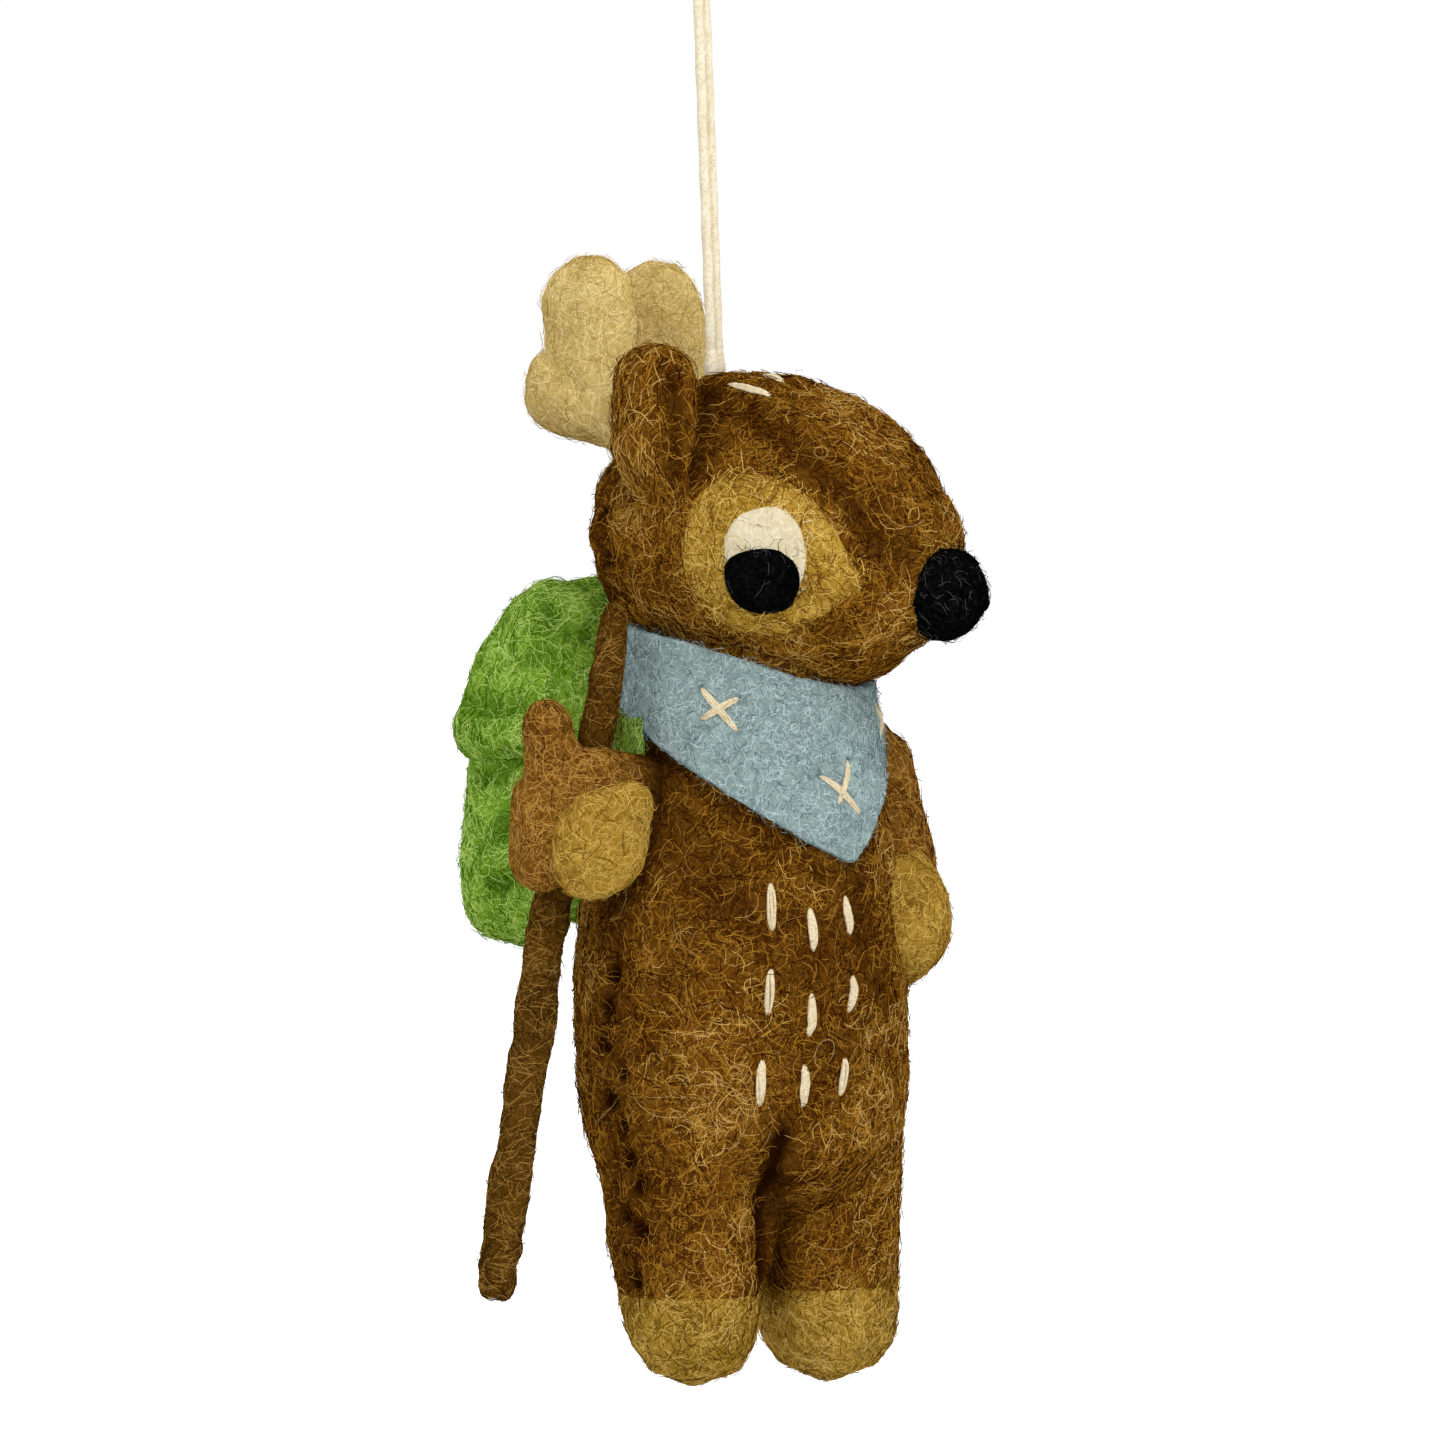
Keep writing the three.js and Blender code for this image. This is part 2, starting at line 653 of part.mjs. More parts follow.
// Antlers: a palm with a high lobe and a back lobe, flat across the head
function antlerLobe(side, startShares, endShares, startRadius, endRadius) {
  const places = [startShares, endShares].map(([reachShare, riseShare]) => (
    headSharePlace(reachShare, side * antlerAsideShare, riseShare)));
  const wides = [antlerHalfThickness, antlerHalfThickness];
  const stations = spineStations(places, wides, [startRadius, endRadius], { across: headAside });
  return loftSolid(stations, limbSides, startRadius * antlerDomeShare, endRadius * antlerDomeShare);
}

for (const [name, side] of Object.entries(sideNames)) {
  addPiece(`ear_${name}`, earSolid(earShares[name], 0).subtract(headClear), finishes.brownFelt);
  const antler = antlerLobe(side, antlerRootShares, antlerPalmShares, antlerPalmRadius, antlerPalmRadius)
    .add(antlerLobe(side, antlerPalmShares, antlerTopShares, antlerPalmRadius, antlerTopRadius))
    .add(antlerLobe(side, antlerBackRootShares, antlerBackTipShares, antlerBackRadius, antlerBackRadius))
    .subtract(headClear)
    .subtract(earSolid(earShares[name], gap));
  addPiece(`antler_${name}`, antler, finishes.antlerWool);
}

// Straps: from the pack over the shoulder and back under the arm, close on the torso
function strapSolid(side, grow) {
  const rise = gap + strapLift + strapHalfThickness;
  const places = strapAngles.map((angle, index) => (
    torsoPlace(side * angle, strapHeightShares[index] * shoulderHeight, rise)));
  const acrossAt = (share) => {
    const position = share * (places.length - 1);
    const index = Math.min(Math.floor(position), places.length - 2);
    return places[index].out.clone().lerp(places[index + 1].out, position - index).normalize();
  };
  const thick = places.map(() => strapHalfThickness);
  const broad = places.map(() => strapHalfWidth);
  const stations = spineStations(places.map((place) => place.at), thick, broad, { acrossAt, roundness: 3 });
  return loftSolid(stations, cordSides, strapHalfThickness, strapHalfThickness, grow, trimDome);
}

// Bandana: its edges are heights at an angle round the neck
const bandanaRise = 2 * gap + strapLift + 2 * strapHalfThickness;

function bandanaEdges(angle) {
  const swing = (1 - Math.cos(THREE.MathUtils.degToRad(angle))) / 2;
  const top = collarHeight + bandanaFrontRise + (bandanaBackRise - bandanaFrontRise) * swing;
  const aside = Math.min(Math.abs(angle - bandanaPointAngle) / bandanaPointSpread, 1);
  const rise = (bandanaPointDrop - bandanaSideDrop) * aside ** bandanaEdgePower;
  const bottom = collarHeight - bandanaPointDrop + rise;
  return { top, bottom };
}

function bandanaSolid(grow) {
  const sheet = (columnShare, rowShare) => {
    const angle = (2 * columnShare - 1) * bandanaLapAngle;
    const { top, bottom } = bandanaEdges(angle);
    const height = bottom - grow + (top - bottom + 2 * grow) * rowShare;
    return torsoPlace(angle, height, bandanaRise - grow + bandanaFlare * (1 - rowShare));
  };
  return sheetSolid(bandanaColumns, bandanaRows, sheet, bandanaThickness + 2 * grow);
}

const bandanaClear = bandanaSolid(gap);
const strapsClear = strapSolid(1, gap).add(strapSolid(-1, gap));
addPiece('strap_left', strapSolid(1, 0), finishes.greenWool);
addPiece('strap_right', strapSolid(-1, 0), finishes.greenWool);
addPiece('bandana', bandanaSolid(0).subtract(headClear), finishes.blueFelt);

// Walking stick: wool wound round a wire, with the bore open at the foot
const stickPath = besidePath(stickAngles, stickHeightShares, stickOutShares, stickRadius);
const stickSideSolid = (radius, sides, grow, places) => {
  const sizes = stickRadiusShares.map((share) => share * radius);
  const stations = spineStations(places, sizes, sizes, { across: sideways });
  return loftSolid(stations, sides, radius, radius, grow, trimDome);
};
const footPath = [stickPath[0].clone().addScaledVector(upward, -overrun), stickPath[0]];
const stickClear = stickSideSolid(stickRadius, limbSides, gap, stickPath);
const wireBore = stickSideSolid(stickWireRadius, trimSides, gap, stickPath)
  .add(stickSideSolid(stickWireRadius, trimSides, gap, footPath));
const stickWool = stickSideSolid(stickRadius, limbSides, 0, stickPath).subtract(wireBore);
addPiece('walking_stick_wool', stickWool, finishes.brownFelt);
addPiece('walking_stick_wire', stickSideSolid(stickWireRadius, trimSides, 0, stickPath), finishes.wire);

// Arms: the left hangs down, the right is bent round the stick
const limbAcross = new THREE.Vector3(0.6, -0.8, 0.1);

function limbSolid(path, radius, shares, grow) {
  const sizes = shares.map((share) => share * radius);
  const stations = spineStations(path, sizes, sizes, { across: limbAcross });
  return loftSolid(stations, limbSides, sizes[0], sizes[sizes.length - 1], grow);
}

function leftArmSolid(grow) {
  const path = besidePath(leftArmAngles, leftArmHeightShares, leftArmOutShares, leftArmRadius);
  return limbSolid(path, leftArmRadius, leftArmRadiusShares, grow);
}

function rightArmSolid(grow) {
  const path = besidePath(rightArmAngles, rightArmHeightShares, rightArmOutShares, rightArmRadius);
  const thumb = besidePath(thumbAngles, thumbHeightShares, thumbOutShares, thumbRadius);
  return limbSolid(path, rightArmRadius, rightArmRadiusShares, grow)
    .add(limbSolid(thumb, thumbRadius, thumb.map(() => 1), grow));
}

const bodyClear = torsoClear.add(bandanaClear).add(strapsClear);
addPiece('arm_left', leftArmSolid(0).subtract(bodyClear), finishes.brownFelt);
addPiece('arm_right', rightArmSolid(0).subtract(bodyClear).subtract(stickClear), finishes.brownFelt);
const leftHoofCentre = torsoPlace(
  leftHoofAngle, leftHoofHeightShare * shoulderHeight, leftHoofOutShare * leftArmRadius).at;
const leftHoof = blobSolid(leftHoofCentre, leftHoofSizeShares.map((share) => share * leftHoofHalfSize))
  .subtract(leftArmSolid(gap))
  .subtract(bodyClear);
addPiece('hand_hoof_left', leftHoof, finishes.hoofWool);
const rightHoofCentre = torsoPlace(
  rightHoofAngle, rightHoofHeightShare * shoulderHeight, rightHoofOutShare * rightArmRadius).at;
const rightHoof = blobSolid(rightHoofCentre, rightHoofSizeShares.map((share) => share * rightHoofHalfSize))
  .subtract(rightArmSolid(gap))
  .subtract(stickClear)
  .subtract(bodyClear);
addPiece('hand_hoof_right', rightHoof, finishes.hoofWool);

// Backpack and flap
const packCentre = chestHalfDepth + packStandOff + packHalfDepth;

function packLoft(levels, halfWidth, halfDepth, shares, startDome, endDome, grow) {
  const places = levels.map((level) => new THREE.Vector3(0, packCentre, level));
  const wides = shares.map((share) => share * halfWidth);
  const deeps = shares.map((share) => share * halfDepth);
  const options = { across: sideways, roundness: packRoundness, ringsPerStation: 2 };
  return loftSolid(spineStations(places, wides, deeps, options), outerSides, startDome, endDome, grow);
}

const bagSolid = (grow) => packLoft(
  [packBottom, packBulge, packShoulder], packHalfWidth, packHalfDepth,
  [packBottomShare, 1, packTopShare], packEndDome, packEndDome, grow);
const flapSolid = packLoft(
  [flapBottom, flapBulge, flapTop], flapHalfWidth, flapHalfDepth,
  [packTopShare, 1, flapTopShare], packEndDome, flapDome, 0);
addPiece('backpack_bag', bagSolid(0).subtract(bodyClear), finishes.greenWool);
const flap = flapSolid.subtract(bagSolid(gap)).subtract(bodyClear).subtract(headClear);
addPiece('backpack_flap', flap, finishes.greenWool);

// One floss stitch: a short flattened strand that follows places on a surface
function stitchSolid(places) {
  const thick = places.map(() => stitchHalfThickness);
  const broad = places.map(() => stitchHalfWidth);
  const middle = places[Math.floor(places.length / 2)].out;
  const stations = spineStations(places.map((place) => place.at), thick, broad, { across: middle });
  return loftSolid(stations, trimSides, stitchHalfWidth, stitchHalfWidth, 0, trimDome);
}

// Places of a straight stitch on the torso or bandana, leaning by an angle from upright
function stitchPlaces(angle, height, halfLength, leanDegrees, offset) {
  const lean = THREE.MathUtils.degToRad(leanDegrees);
  return [-1, 0, 1].map((share) => {
    const rise = share * halfLength * Math.cos(lean);
    const aside = share * halfLength * Math.sin(lean);
    const here = torsoPlace(angle, height + rise, offset);
    const turn = THREE.MathUtils.radToDeg(aside / Math.hypot(here.at.x, here.at.y));
    return torsoPlace(angle + turn, height + rise, offset);
  });
}

const stitchLift = gap + stitchHalfThickness + stitchEase;
chestAngles.forEach((angles, row) => {
  angles.forEach((angle, column) => {
    const height = chestHeight - chestDropShares[row][column] * hipHalfDepth;
    const half = (chestLengthShares[column] * chestStitchLength) / 2 - stitchHalfWidth;
    const places = stitchPlaces(angle, height, half, chestLeanDegrees[row], stitchLift);
    addPiece(`chest_stitch_${row + 1}_${column + 1}`, stitchSolid(places), finishes.floss);
  });
});

// Crosses on the bandana: two crossing stitches each
crossAngles.forEach((angle, index) => {
  const offset = bandanaRise + bandanaFlare + bandanaThickness + stitchLift;
  const height = collarHeight - crossDropShares[index] * bandanaPointDrop;
  const half = crossArm - stitchHalfWidth;
  const strokes = [-45, 45].map((lean) => (
    stitchSolid(stitchPlaces(angle, height, half, lean + crossLeanDegrees[index], offset))));
  addPiece(`bandana_cross_${index + 1}`, strokes[0].add(strokes[1]), finishes.floss);
});

// Stitches on the crown, along the head
crownReachShares.forEach((reachShare, index) => {
  const asideShare = crownAsideShares[index];
  const fall = Math.sqrt(1 - asideShare ** 2);
  const out = headAside.clone().multiplyScalar(asideShare).add(upward).normalize();
  const places = [-1, 0, 1].map((share) => {
    const half = (crownLengthShares[index] * crownStitchLength) / 2 - stitchHalfWidth;
    const reach = reachShare * headBack + share * half;
    const height = headHeight + (headTop(reach) - headHeight) * fall;
    const at = headPlace(reach, asideShare * headHalfWidth, height).addScaledVector(out, stitchLift);
    return { at, out };
  });
  addPiece(`crown_stitch_${index + 1}`, stitchSolid(places), finishes.floss);
});

// Hanging loop: up one strand, round the eye and down the other
const loopCloseHeight = pivotHeight + loopStraight;
const loopEyeHeight = loopCloseHeight + loopNeck;

function loopRoute() {
  const half = strandSpacing / 2;
  const strand = (side) => Array.from({ length: loopStraightSteps + 1 }, (unused, index) => (
    loopPlace(side * half, pivotHeight + (loopStraight * index) / loopStraightSteps)));
  const neck = (side) => loopNeckShares.map(([asideShare, riseShare]) => (
    loopPlace(side * (half + (loopEyeRadius - half) * asideShare), loopCloseHeight + loopNeck * riseShare)));
  const eye = Array.from({ length: loopEyeSteps + 1 }, (unused, step) => {
    const turn = Math.PI * (1 - step / loopEyeSteps);
    return loopPlace(loopEyeRadius * Math.cos(turn), loopEyeHeight + loopEyeRadius * Math.sin(turn));
  });
  const points = [...strand(-1), ...neck(-1), ...eye, ...neck(1).reverse(), ...strand(1).reverse()];
  return new THREE.CatmullRomCurve3(points, false, 'centripetal');
}

function loopSolid() {
  const section = new THREE.Shape();
  for (let side = 0; side < cordSides; side += 1) {
    const angle = (side / cordSides) * 2 * Math.PI;
    const corner = [cordRadius * Math.cos(angle), cordRadius * Math.sin(angle)];
    if (side === 0) section.moveTo(...corner);
    else section.lineTo(...corner);
  }
  const geometry = new THREE.ExtrudeGeometry(section, {
    extrudePath: loopRoute(), steps: loopSteps, bevelEnabled: false, curveSegments: 1,
  });
  const ends = strandAsides.map((aside) => blobSolid(
    loopPlace(aside, pivotHeight), [cordRadius, cordRadius, cordRadius], 0, cordSides));
  return ends.reduce((whole, end) => whole.add(end), solidOf(geometry));
}

addPiece('hanging_loop', loopSolid(), finishes.cord);

// The origin is the underside of the eye's top, where a hook carries the loop
const loopTop = loopPlace(0, loopEyeHeight + loopEyeRadius - cordRadius);
figure.position.copy(loopTop.negate());

export default figure;
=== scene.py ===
"""Looks of a needle-felted fawn ornament on its hanging loop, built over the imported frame.

Lengths in the classes are in millimetres in the row frame, and turn into metres where a mesh is made.
"""

import logging
import math
import zlib
from dataclasses import dataclass, field
from enum import Enum
from typing import Callable, Optional, Sequence

import bmesh
import bpy
import numpy as np
from mathutils import Matrix, Vector
from mathutils.bvhtree import BVHTree

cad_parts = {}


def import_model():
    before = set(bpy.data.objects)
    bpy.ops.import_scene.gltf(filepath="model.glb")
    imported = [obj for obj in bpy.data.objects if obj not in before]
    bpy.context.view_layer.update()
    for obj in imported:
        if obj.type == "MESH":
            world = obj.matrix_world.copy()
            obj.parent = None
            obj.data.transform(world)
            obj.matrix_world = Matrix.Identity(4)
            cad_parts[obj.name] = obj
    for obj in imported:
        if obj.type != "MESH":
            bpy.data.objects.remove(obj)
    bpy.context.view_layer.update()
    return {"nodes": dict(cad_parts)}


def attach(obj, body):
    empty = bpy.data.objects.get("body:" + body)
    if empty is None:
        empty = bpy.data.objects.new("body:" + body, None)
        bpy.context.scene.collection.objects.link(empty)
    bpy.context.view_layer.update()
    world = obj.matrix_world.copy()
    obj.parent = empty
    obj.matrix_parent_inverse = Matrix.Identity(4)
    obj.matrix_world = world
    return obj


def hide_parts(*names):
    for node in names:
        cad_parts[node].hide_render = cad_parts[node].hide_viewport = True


LOG = logging.getLogger("fawn_ornament")
MM = 0.001
TURN = 2 * math.pi

Array = np.ndarray
Colour = tuple[int, int, int]
Place = tuple[float, float, float]
Pixel = tuple[float, float]
Pixels = tuple[Pixel, ...]
Span = tuple[float, float]
Lumps = tuple[tuple[float, float], ...]
Swell = tuple[float, float, float, float]
Swells = tuple[Swell, ...]
# A pressed groove: half width, depth, and how dark its painted shade gets
Press = tuple[float, float, float]
# Painted shade: half width, how dark, and the pixels that it runs beside
Shades = tuple[tuple[float, float, Pixels], ...]
Tube = tuple[Array, Array, Array]
Nodes = dict[str, bpy.types.Object]
Socket = bpy.types.NodeSocket
Change = Callable[[Array], Array]
Where = Optional[Change]


class Body(Enum):
    """The bodies of the frame that a piece can ride on."""

    LOOP = "loop"
    FAWN = "fawn"


class Lay(Enum):
    """Which way the fibres of a coat run."""

    ANY = "any"
    WOUND = "wound"
    ALONG = "along"


def linear(colour: Colour) -> tuple[float, float, float, float]:
    """Turns a colour as it is seen into the renderer's own scale.

    Args:
        colour: red, green and blue from 0 to 255.

    Returns:
        The linear colour with full opacity.
    """
    parts = []
    for part in colour:
        share = part / 255
        parts.append(share / 12.92 if share <= 0.04045 else ((share + 0.055) / 1.055) ** 2.4)
    return (parts[0], parts[1], parts[2], 1.0)


def unit(rows: Array) -> Array:
    """Scales each row of an array to length one."""
    length = np.linalg.norm(rows, axis=-1, keepdims=True)
    return rows / np.maximum(length, 1e-9)


def seed_of(name: str) -> int:
    """Gives a fixed seed for a piece's name."""
    return zlib.crc32(name.encode())


def bell(gap: Array, reach: Array | float) -> Array:
    """Falls softly from 1 where the gap is 0 to nearly 0 at twice the reach."""
    return np.exp(-((gap / reach) ** 2))


def laid_flat(ways: Array, outward: Array) -> Array:
    """Turns directions down onto the wool, each with length one."""
    return unit(ways - outward * np.sum(ways * outward, axis=1, keepdims=True))


def upper_first(one: Array, other: Array) -> tuple[Array, Array]:
    """Gives two places, the upper one first."""
    return (one, other) if one[2] >= other[2] else (other, one)


def read_rows(items: Sequence, key: str, width: int, kind: type) -> Array:
    """Reads one property of all of a mesh's points, edges or triangles, one a row."""
    rows = np.zeros((len(items), width), kind)
    items.foreach_get(key, rows.ravel())
    return rows


class WoolNoise:
    """Smooth, seeded noise in space, for lumps, dents and mottling."""

    side = 32
    offset = 7.31

    def __init__(self, seed: int) -> None:
        """Fills the lattice with values from -1 to 1."""
        rng = np.random.default_rng(seed)
        self.table = rng.uniform(-1, 1, (self.side, self.side, self.side))

    def at(self, places: Array, grain: float) -> Array:
        """Reads the noise.

        Args:
            places: points in millimetres, one a row.
            grain: the size of one lump in millimetres.

        Returns:
            One value from -1 to 1 for each point.
        """
        scaled = places / grain + self.offset
        cell = np.floor(scaled).astype(int)
        part = scaled - cell
        part = part * part * (3 - 2 * part)
        value = np.zeros(len(places))
        for corner in range(8):
            step = np.array([corner & 1, (corner >> 1) & 1, (corner >> 2) & 1])
            index = (cell + step) % self.side
            weight = np.prod(np.where(step == 1, part, 1 - part), axis=1)
            value += weight * self.table[index[:, 0], index[:, 1], index[:, 2]]
        return value


@dataclass(frozen=True)
class PhotoView:
    """The camera of the photograph, and the rays through its pixels."""

    target: Place = (1.53, -2.03, -90.34)
    azimuth: float = -35.0
    elevation: float = 2.0
    distance: float = 1000.0
    frame_side: float = 159.3
    picture_side: float = 1440.0
    sensor: float = 36.0
    clip: Span = (0.05, 50.0)

    def axes(self) -> tuple[Vector, Vector, Vector]:
        """Gives the directions to the right, up and forward in the picture.

        Returns:
            Three unit directions.
        """
        turn = math.radians(self.azimuth)
        tilt = math.radians(self.elevation)
        forward = Vector((-math.sin(turn) * math.cos(tilt), math.cos(turn) * math.cos(tilt), -math.sin(tilt)))
        right = forward.cross(Vector((0, 0, 1))).normalized()
        return right, right.cross(forward), forward

    def eye(self) -> Vector:
        """Gives the camera's place in millimetres."""
        return Vector(self.target) - self.axes()[2] * self.distance

    def ray(self, pixel: Pixel) -> Vector:
        """Gives the direction from the camera through a pixel of the photograph.

        Args:
            pixel: across and down, in the photograph's own pixels.

        Returns:
            A direction of length one.
        """
        right, up, forward = self.axes()
        step = self.frame_side / self.picture_side
        half = self.picture_side / 2
        aim = forward * self.distance + right * (pixel[0] - half) * step + up * (half - pixel[1]) * step
        return aim.normalized()

    def make_camera(self) -> None:
        """Makes the camera and gives it to the scene."""
        right, up, forward = self.axes()
        data = bpy.data.cameras.new("photo_camera")
        data.sensor_width = self.sensor
        data.lens = self.sensor * self.distance / self.frame_side
        data.clip_start, data.clip_end = self.clip
        camera = bpy.data.objects.new("photo_camera", data)
        bpy.context.scene.collection.objects.link(camera)
        turn = Matrix((right, up, -forward)).transposed().to_4x4()
        camera.matrix_world = Matrix.Translation(self.eye() * MM) @ turn
        bpy.context.scene.camera = camera


VIEW = PhotoView()


@dataclass(frozen=True)
class FigurePlace:
    """Where the standing figure is in the row frame."""

    axis_x: float = 4.0655
    axis_y: float = -3.8065
    sole_z: float = -163.6944

    def at(self, x: float, y: float, z: float) -> Place:
        """Turns a place on the figure into the row frame, in millimetres."""
        return (x + self.axis_x, y + self.axis_y, z + self.sole_z)


FIGURE = FigurePlace()


class NodeSheet:
    """A new material's node tree, with short ways to add and link nodes."""

    # A mix node has one pair of inputs for each kind of value, and these are the colours
    first_colour = 6
    second_colour = 7
    mixed_colour = 2
    # Curled strands are the level lines of a noise that bends itself a little
    curl_bend = 0.4
    curl_span = (0.1, 0.95)
    curl_shift = (1.0, 1.7, 0.6)

    def __init__(self, name: str) -> None:
        """Starts the material with its main shader."""
        self.material = bpy.data.materials.new(name)
        self.material.use_nodes = True
        self.tree = self.material.node_tree
        self.shader = self.tree.nodes["Principled BSDF"]

    def add(self, kind: str, **settings: object) -> bpy.types.Node:
        """Adds a node and sets its own properties."""
        node = self.tree.nodes.new(kind)
        for name, value in settings.items():
            setattr(node, name, value)
        return node

    def link(self, source: Socket, target: Socket) -> None:
        """Links two sockets."""
        self.tree.links.new(source, target)

    def places(self) -> Socket:
        """Gives the object's own coordinates in metres."""
        return self.add("ShaderNodeTexCoord").outputs["Object"]

    def noise(self, where: Socket, grain: float, detail: float, bend: float = 0.0) -> Socket:
        """Adds a noise texture.

        Args:
            where: the coordinates that it reads.
            grain: the size of a lump in millimetres.
            detail: how many finer layers lie over it.
            bend: how far the noise bends itself.

        Returns:
            The noise value, about 0.5 in the middle.
        """
        node = self.add("ShaderNodeTexNoise")
        node.inputs["Scale"].default_value = 1 / (grain * MM)
        node.inputs["Detail"].default_value = detail
        node.inputs["Distortion"].default_value = bend
        self.link(where, node.inputs["Vector"])
        return node.outputs["Fac"]

    def combine(self, kind: str, first: object, second: object) -> Socket:
        """Adds a math node of two values, each a socket or a number."""
        node = self.add("ShaderNodeMath", operation=kind)
        for socket, value in zip(node.inputs, (first, second)):
            self.fill(socket, value)
        return node.outputs[0]

    def fill(self, socket: Socket, value: object) -> None:
        """Gives an input its value, from another socket or as it stands."""
        if isinstance(value, Socket):
            self.link(value, socket)
        else:
            socket.default_value = value

    def spread(self, value: Socket, low: float, high: float) -> Socket:
        """Maps a value from low to high onto 0 to 1, held at both ends.

        Args:
            value: the value that is mapped.
            low: the value that gives 0.
            high: the value that gives 1.

        Returns:
            The mapped value.
        """
        node = self.add("ShaderNodeMapRange", interpolation_type="SMOOTHSTEP")
        self.link(value, node.inputs["Value"])
        node.inputs["From Min"].default_value = low
        node.inputs["From Max"].default_value = high
        return node.outputs["Result"]

    def blend(self, share: Socket, first: object, second: object) -> Socket:
        """Mixes two colours, each a socket or a colour, by a share.

        Args:
            share: 0 for the first colour and 1 for the second.
            first: the first colour.
            second: the second colour.

        Returns:
            The mixed colour.
        """
        node = self.add("ShaderNodeMix", data_type="RGBA")
        self.link(share, node.inputs["Factor"])
        for number, value in ((self.first_colour, first), (self.second_colour, second)):
            self.fill(node.inputs[number], value if isinstance(value, Socket) else linear(value))
        return node.outputs[self.mixed_colour]

    def curls(self, where: Socket, grain: float, lines: float, shift: float) -> Socket:
        """Draws fine curling strands, as the level lines of a noise.

        Args:
            where: the coordinates that it reads.
            grain: the size of a curl in millimetres.
            lines: how many strands lie across one curl.
            shift: moves the pattern, so that two layers cross.

        Returns:
            A value near 1 on a strand and near 0 between strands.
        """
        moved = self.add("ShaderNodeVectorMath", operation="ADD")
        self.link(where, moved.inputs[0])
        moved.inputs[1].default_value = tuple(shift * part for part in self.curl_shift)
        height = self.noise(moved.outputs[0], grain, 1.0, self.curl_bend)
        wave = self.combine("SINE", self.combine("MULTIPLY", height, lines * TURN), 0.0)
        return self.spread(wave, *self.curl_span)

    def bump(self, height: Socket, depth: float, strength: float) -> None:
        """Presses a height pattern of a depth in millimetres into the surface.

        Args:
            height: the pattern.
            depth: its depth in millimetres.
            strength: how strongly it shows, from 0 to 1.
        """
        node = self.add("ShaderNodeBump")
        node.inputs["Distance"].default_value = depth * MM
        node.inputs["Strength"].default_value = strength
        self.link(height, node.inputs["Height"])
        self.link(node.outputs["Normal"], self.shader.inputs["Normal"])

    def finish(self, roughness: float, sheen: float, tint: Colour) -> bpy.types.Material:
        """Sets the plain values of the main shader and gives the material.

        Args:
            roughness: how dull the surface is.
            sheen: how strong the soft light at its edges is.
            tint: the colour of that light.

        Returns:
            The material.
        """
        self.shader.inputs["Roughness"].default_value = roughness
        self.shader.inputs["Specular IOR Level"].default_value = 0.0
        self.shader.inputs["Sheen Weight"].default_value = sheen
        self.shader.inputs["Sheen Roughness"].default_value = 0.5
        self.shader.inputs["Sheen Tint"].default_value = linear(tint)
        return self.material


class Finish:
    """A material that is built the first time it is asked for."""

    name: str

    def material(self) -> bpy.types.Material:
        """Builds the material once and gives it."""
        return bpy.data.materials.get(self.name) or self.paint(NodeSheet(self.name))

    def paint(self, sheet: NodeSheet) -> bpy.types.Material:
        """Builds the look on an empty sheet and gives its material."""
        raise NotImplementedError


@dataclass(frozen=True)
class WoolFinish(Finish):
    """Matted wool: mottled, with fine curled strands pressed into it, and painted shade where it is pressed
    in or shadowed.
    """

    name: str
    slot: str
    dark: Colour
    main: Colour
    light: Colour
    # The colour of the painted shade, where the mesh's painted shade is full
    deep: Colour
    patch: float = 7.0
    curl: float = 2.2
    relief: float = 0.12
    sheen: float = 0.02
    mottle_span: Span = (0.36, 0.66)
    speck_grain: float = 0.4
    speck_span: Span = (0.35, 0.7)
    speck_light: Span = (0.12, 0.55)
    speck_relief: float = 0.7
    second_curl: float = 0.7
    second_light: float = 0.8
    roughness: float = 0.95

    def paint(self, sheet: NodeSheet) -> bpy.types.Material:
        """Mottles the ground, lays two layers of strands over it and darkens the pressed and shadowed places
        with painted shade.

        Args:
            sheet: the empty sheet.

        Returns:
            The material.
        """
        where = sheet.places()
        mottle = sheet.spread(sheet.noise(where, self.patch, 3.0, 0.6), *self.mottle_span)
        ground = sheet.blend(mottle, self.dark, self.main)
        first = sheet.curls(where, self.curl, 5.0, 0.013)
        second = sheet.curls(where, self.curl * self.second_curl, 4.0, 0.047)
        strands = sheet.combine("MAXIMUM", first, sheet.combine("MULTIPLY", second, self.second_light))
        speck = sheet.spread(sheet.noise(where, self.speck_grain, 2.0), *self.speck_span)
        least, more = self.speck_light
        lit = sheet.combine("ADD", sheet.combine("MULTIPLY", speck, more), least)
        coloured = sheet.blend(sheet.combine("MULTIPLY", strands, lit), ground, self.light)
        # Painted shade stored on the mesh darkens the colour towards the deep colour
        painted_shade = sheet.add("ShaderNodeAttribute", attribute_name="painted_shade")
        shaded = sheet.blend(painted_shade.outputs["Fac"], coloured, self.deep)
        sheet.link(shaded, sheet.shader.inputs["Base Color"])
        raised = sheet.combine("ADD", strands, sheet.combine("MULTIPLY", speck, self.speck_relief))
        sheet.bump(raised, self.relief, 0.7)
        return sheet.finish(self.roughness, self.sheen, self.light)


@dataclass(frozen=True)
class FibreShade(Finish):
    """One colour of loose fibre and the share of the coat that has it."""

    name: str
    colour: Colour
    share: float
    roughness: float = 0.8

    def paint(self, sheet: NodeSheet) -> bpy.types.Material:
        """Gives the fibre its one colour."""
        sheet.shader.inputs["Base Color"].default_value = linear(self.colour)
        return sheet.finish(self.roughness, 0.0, self.colour)


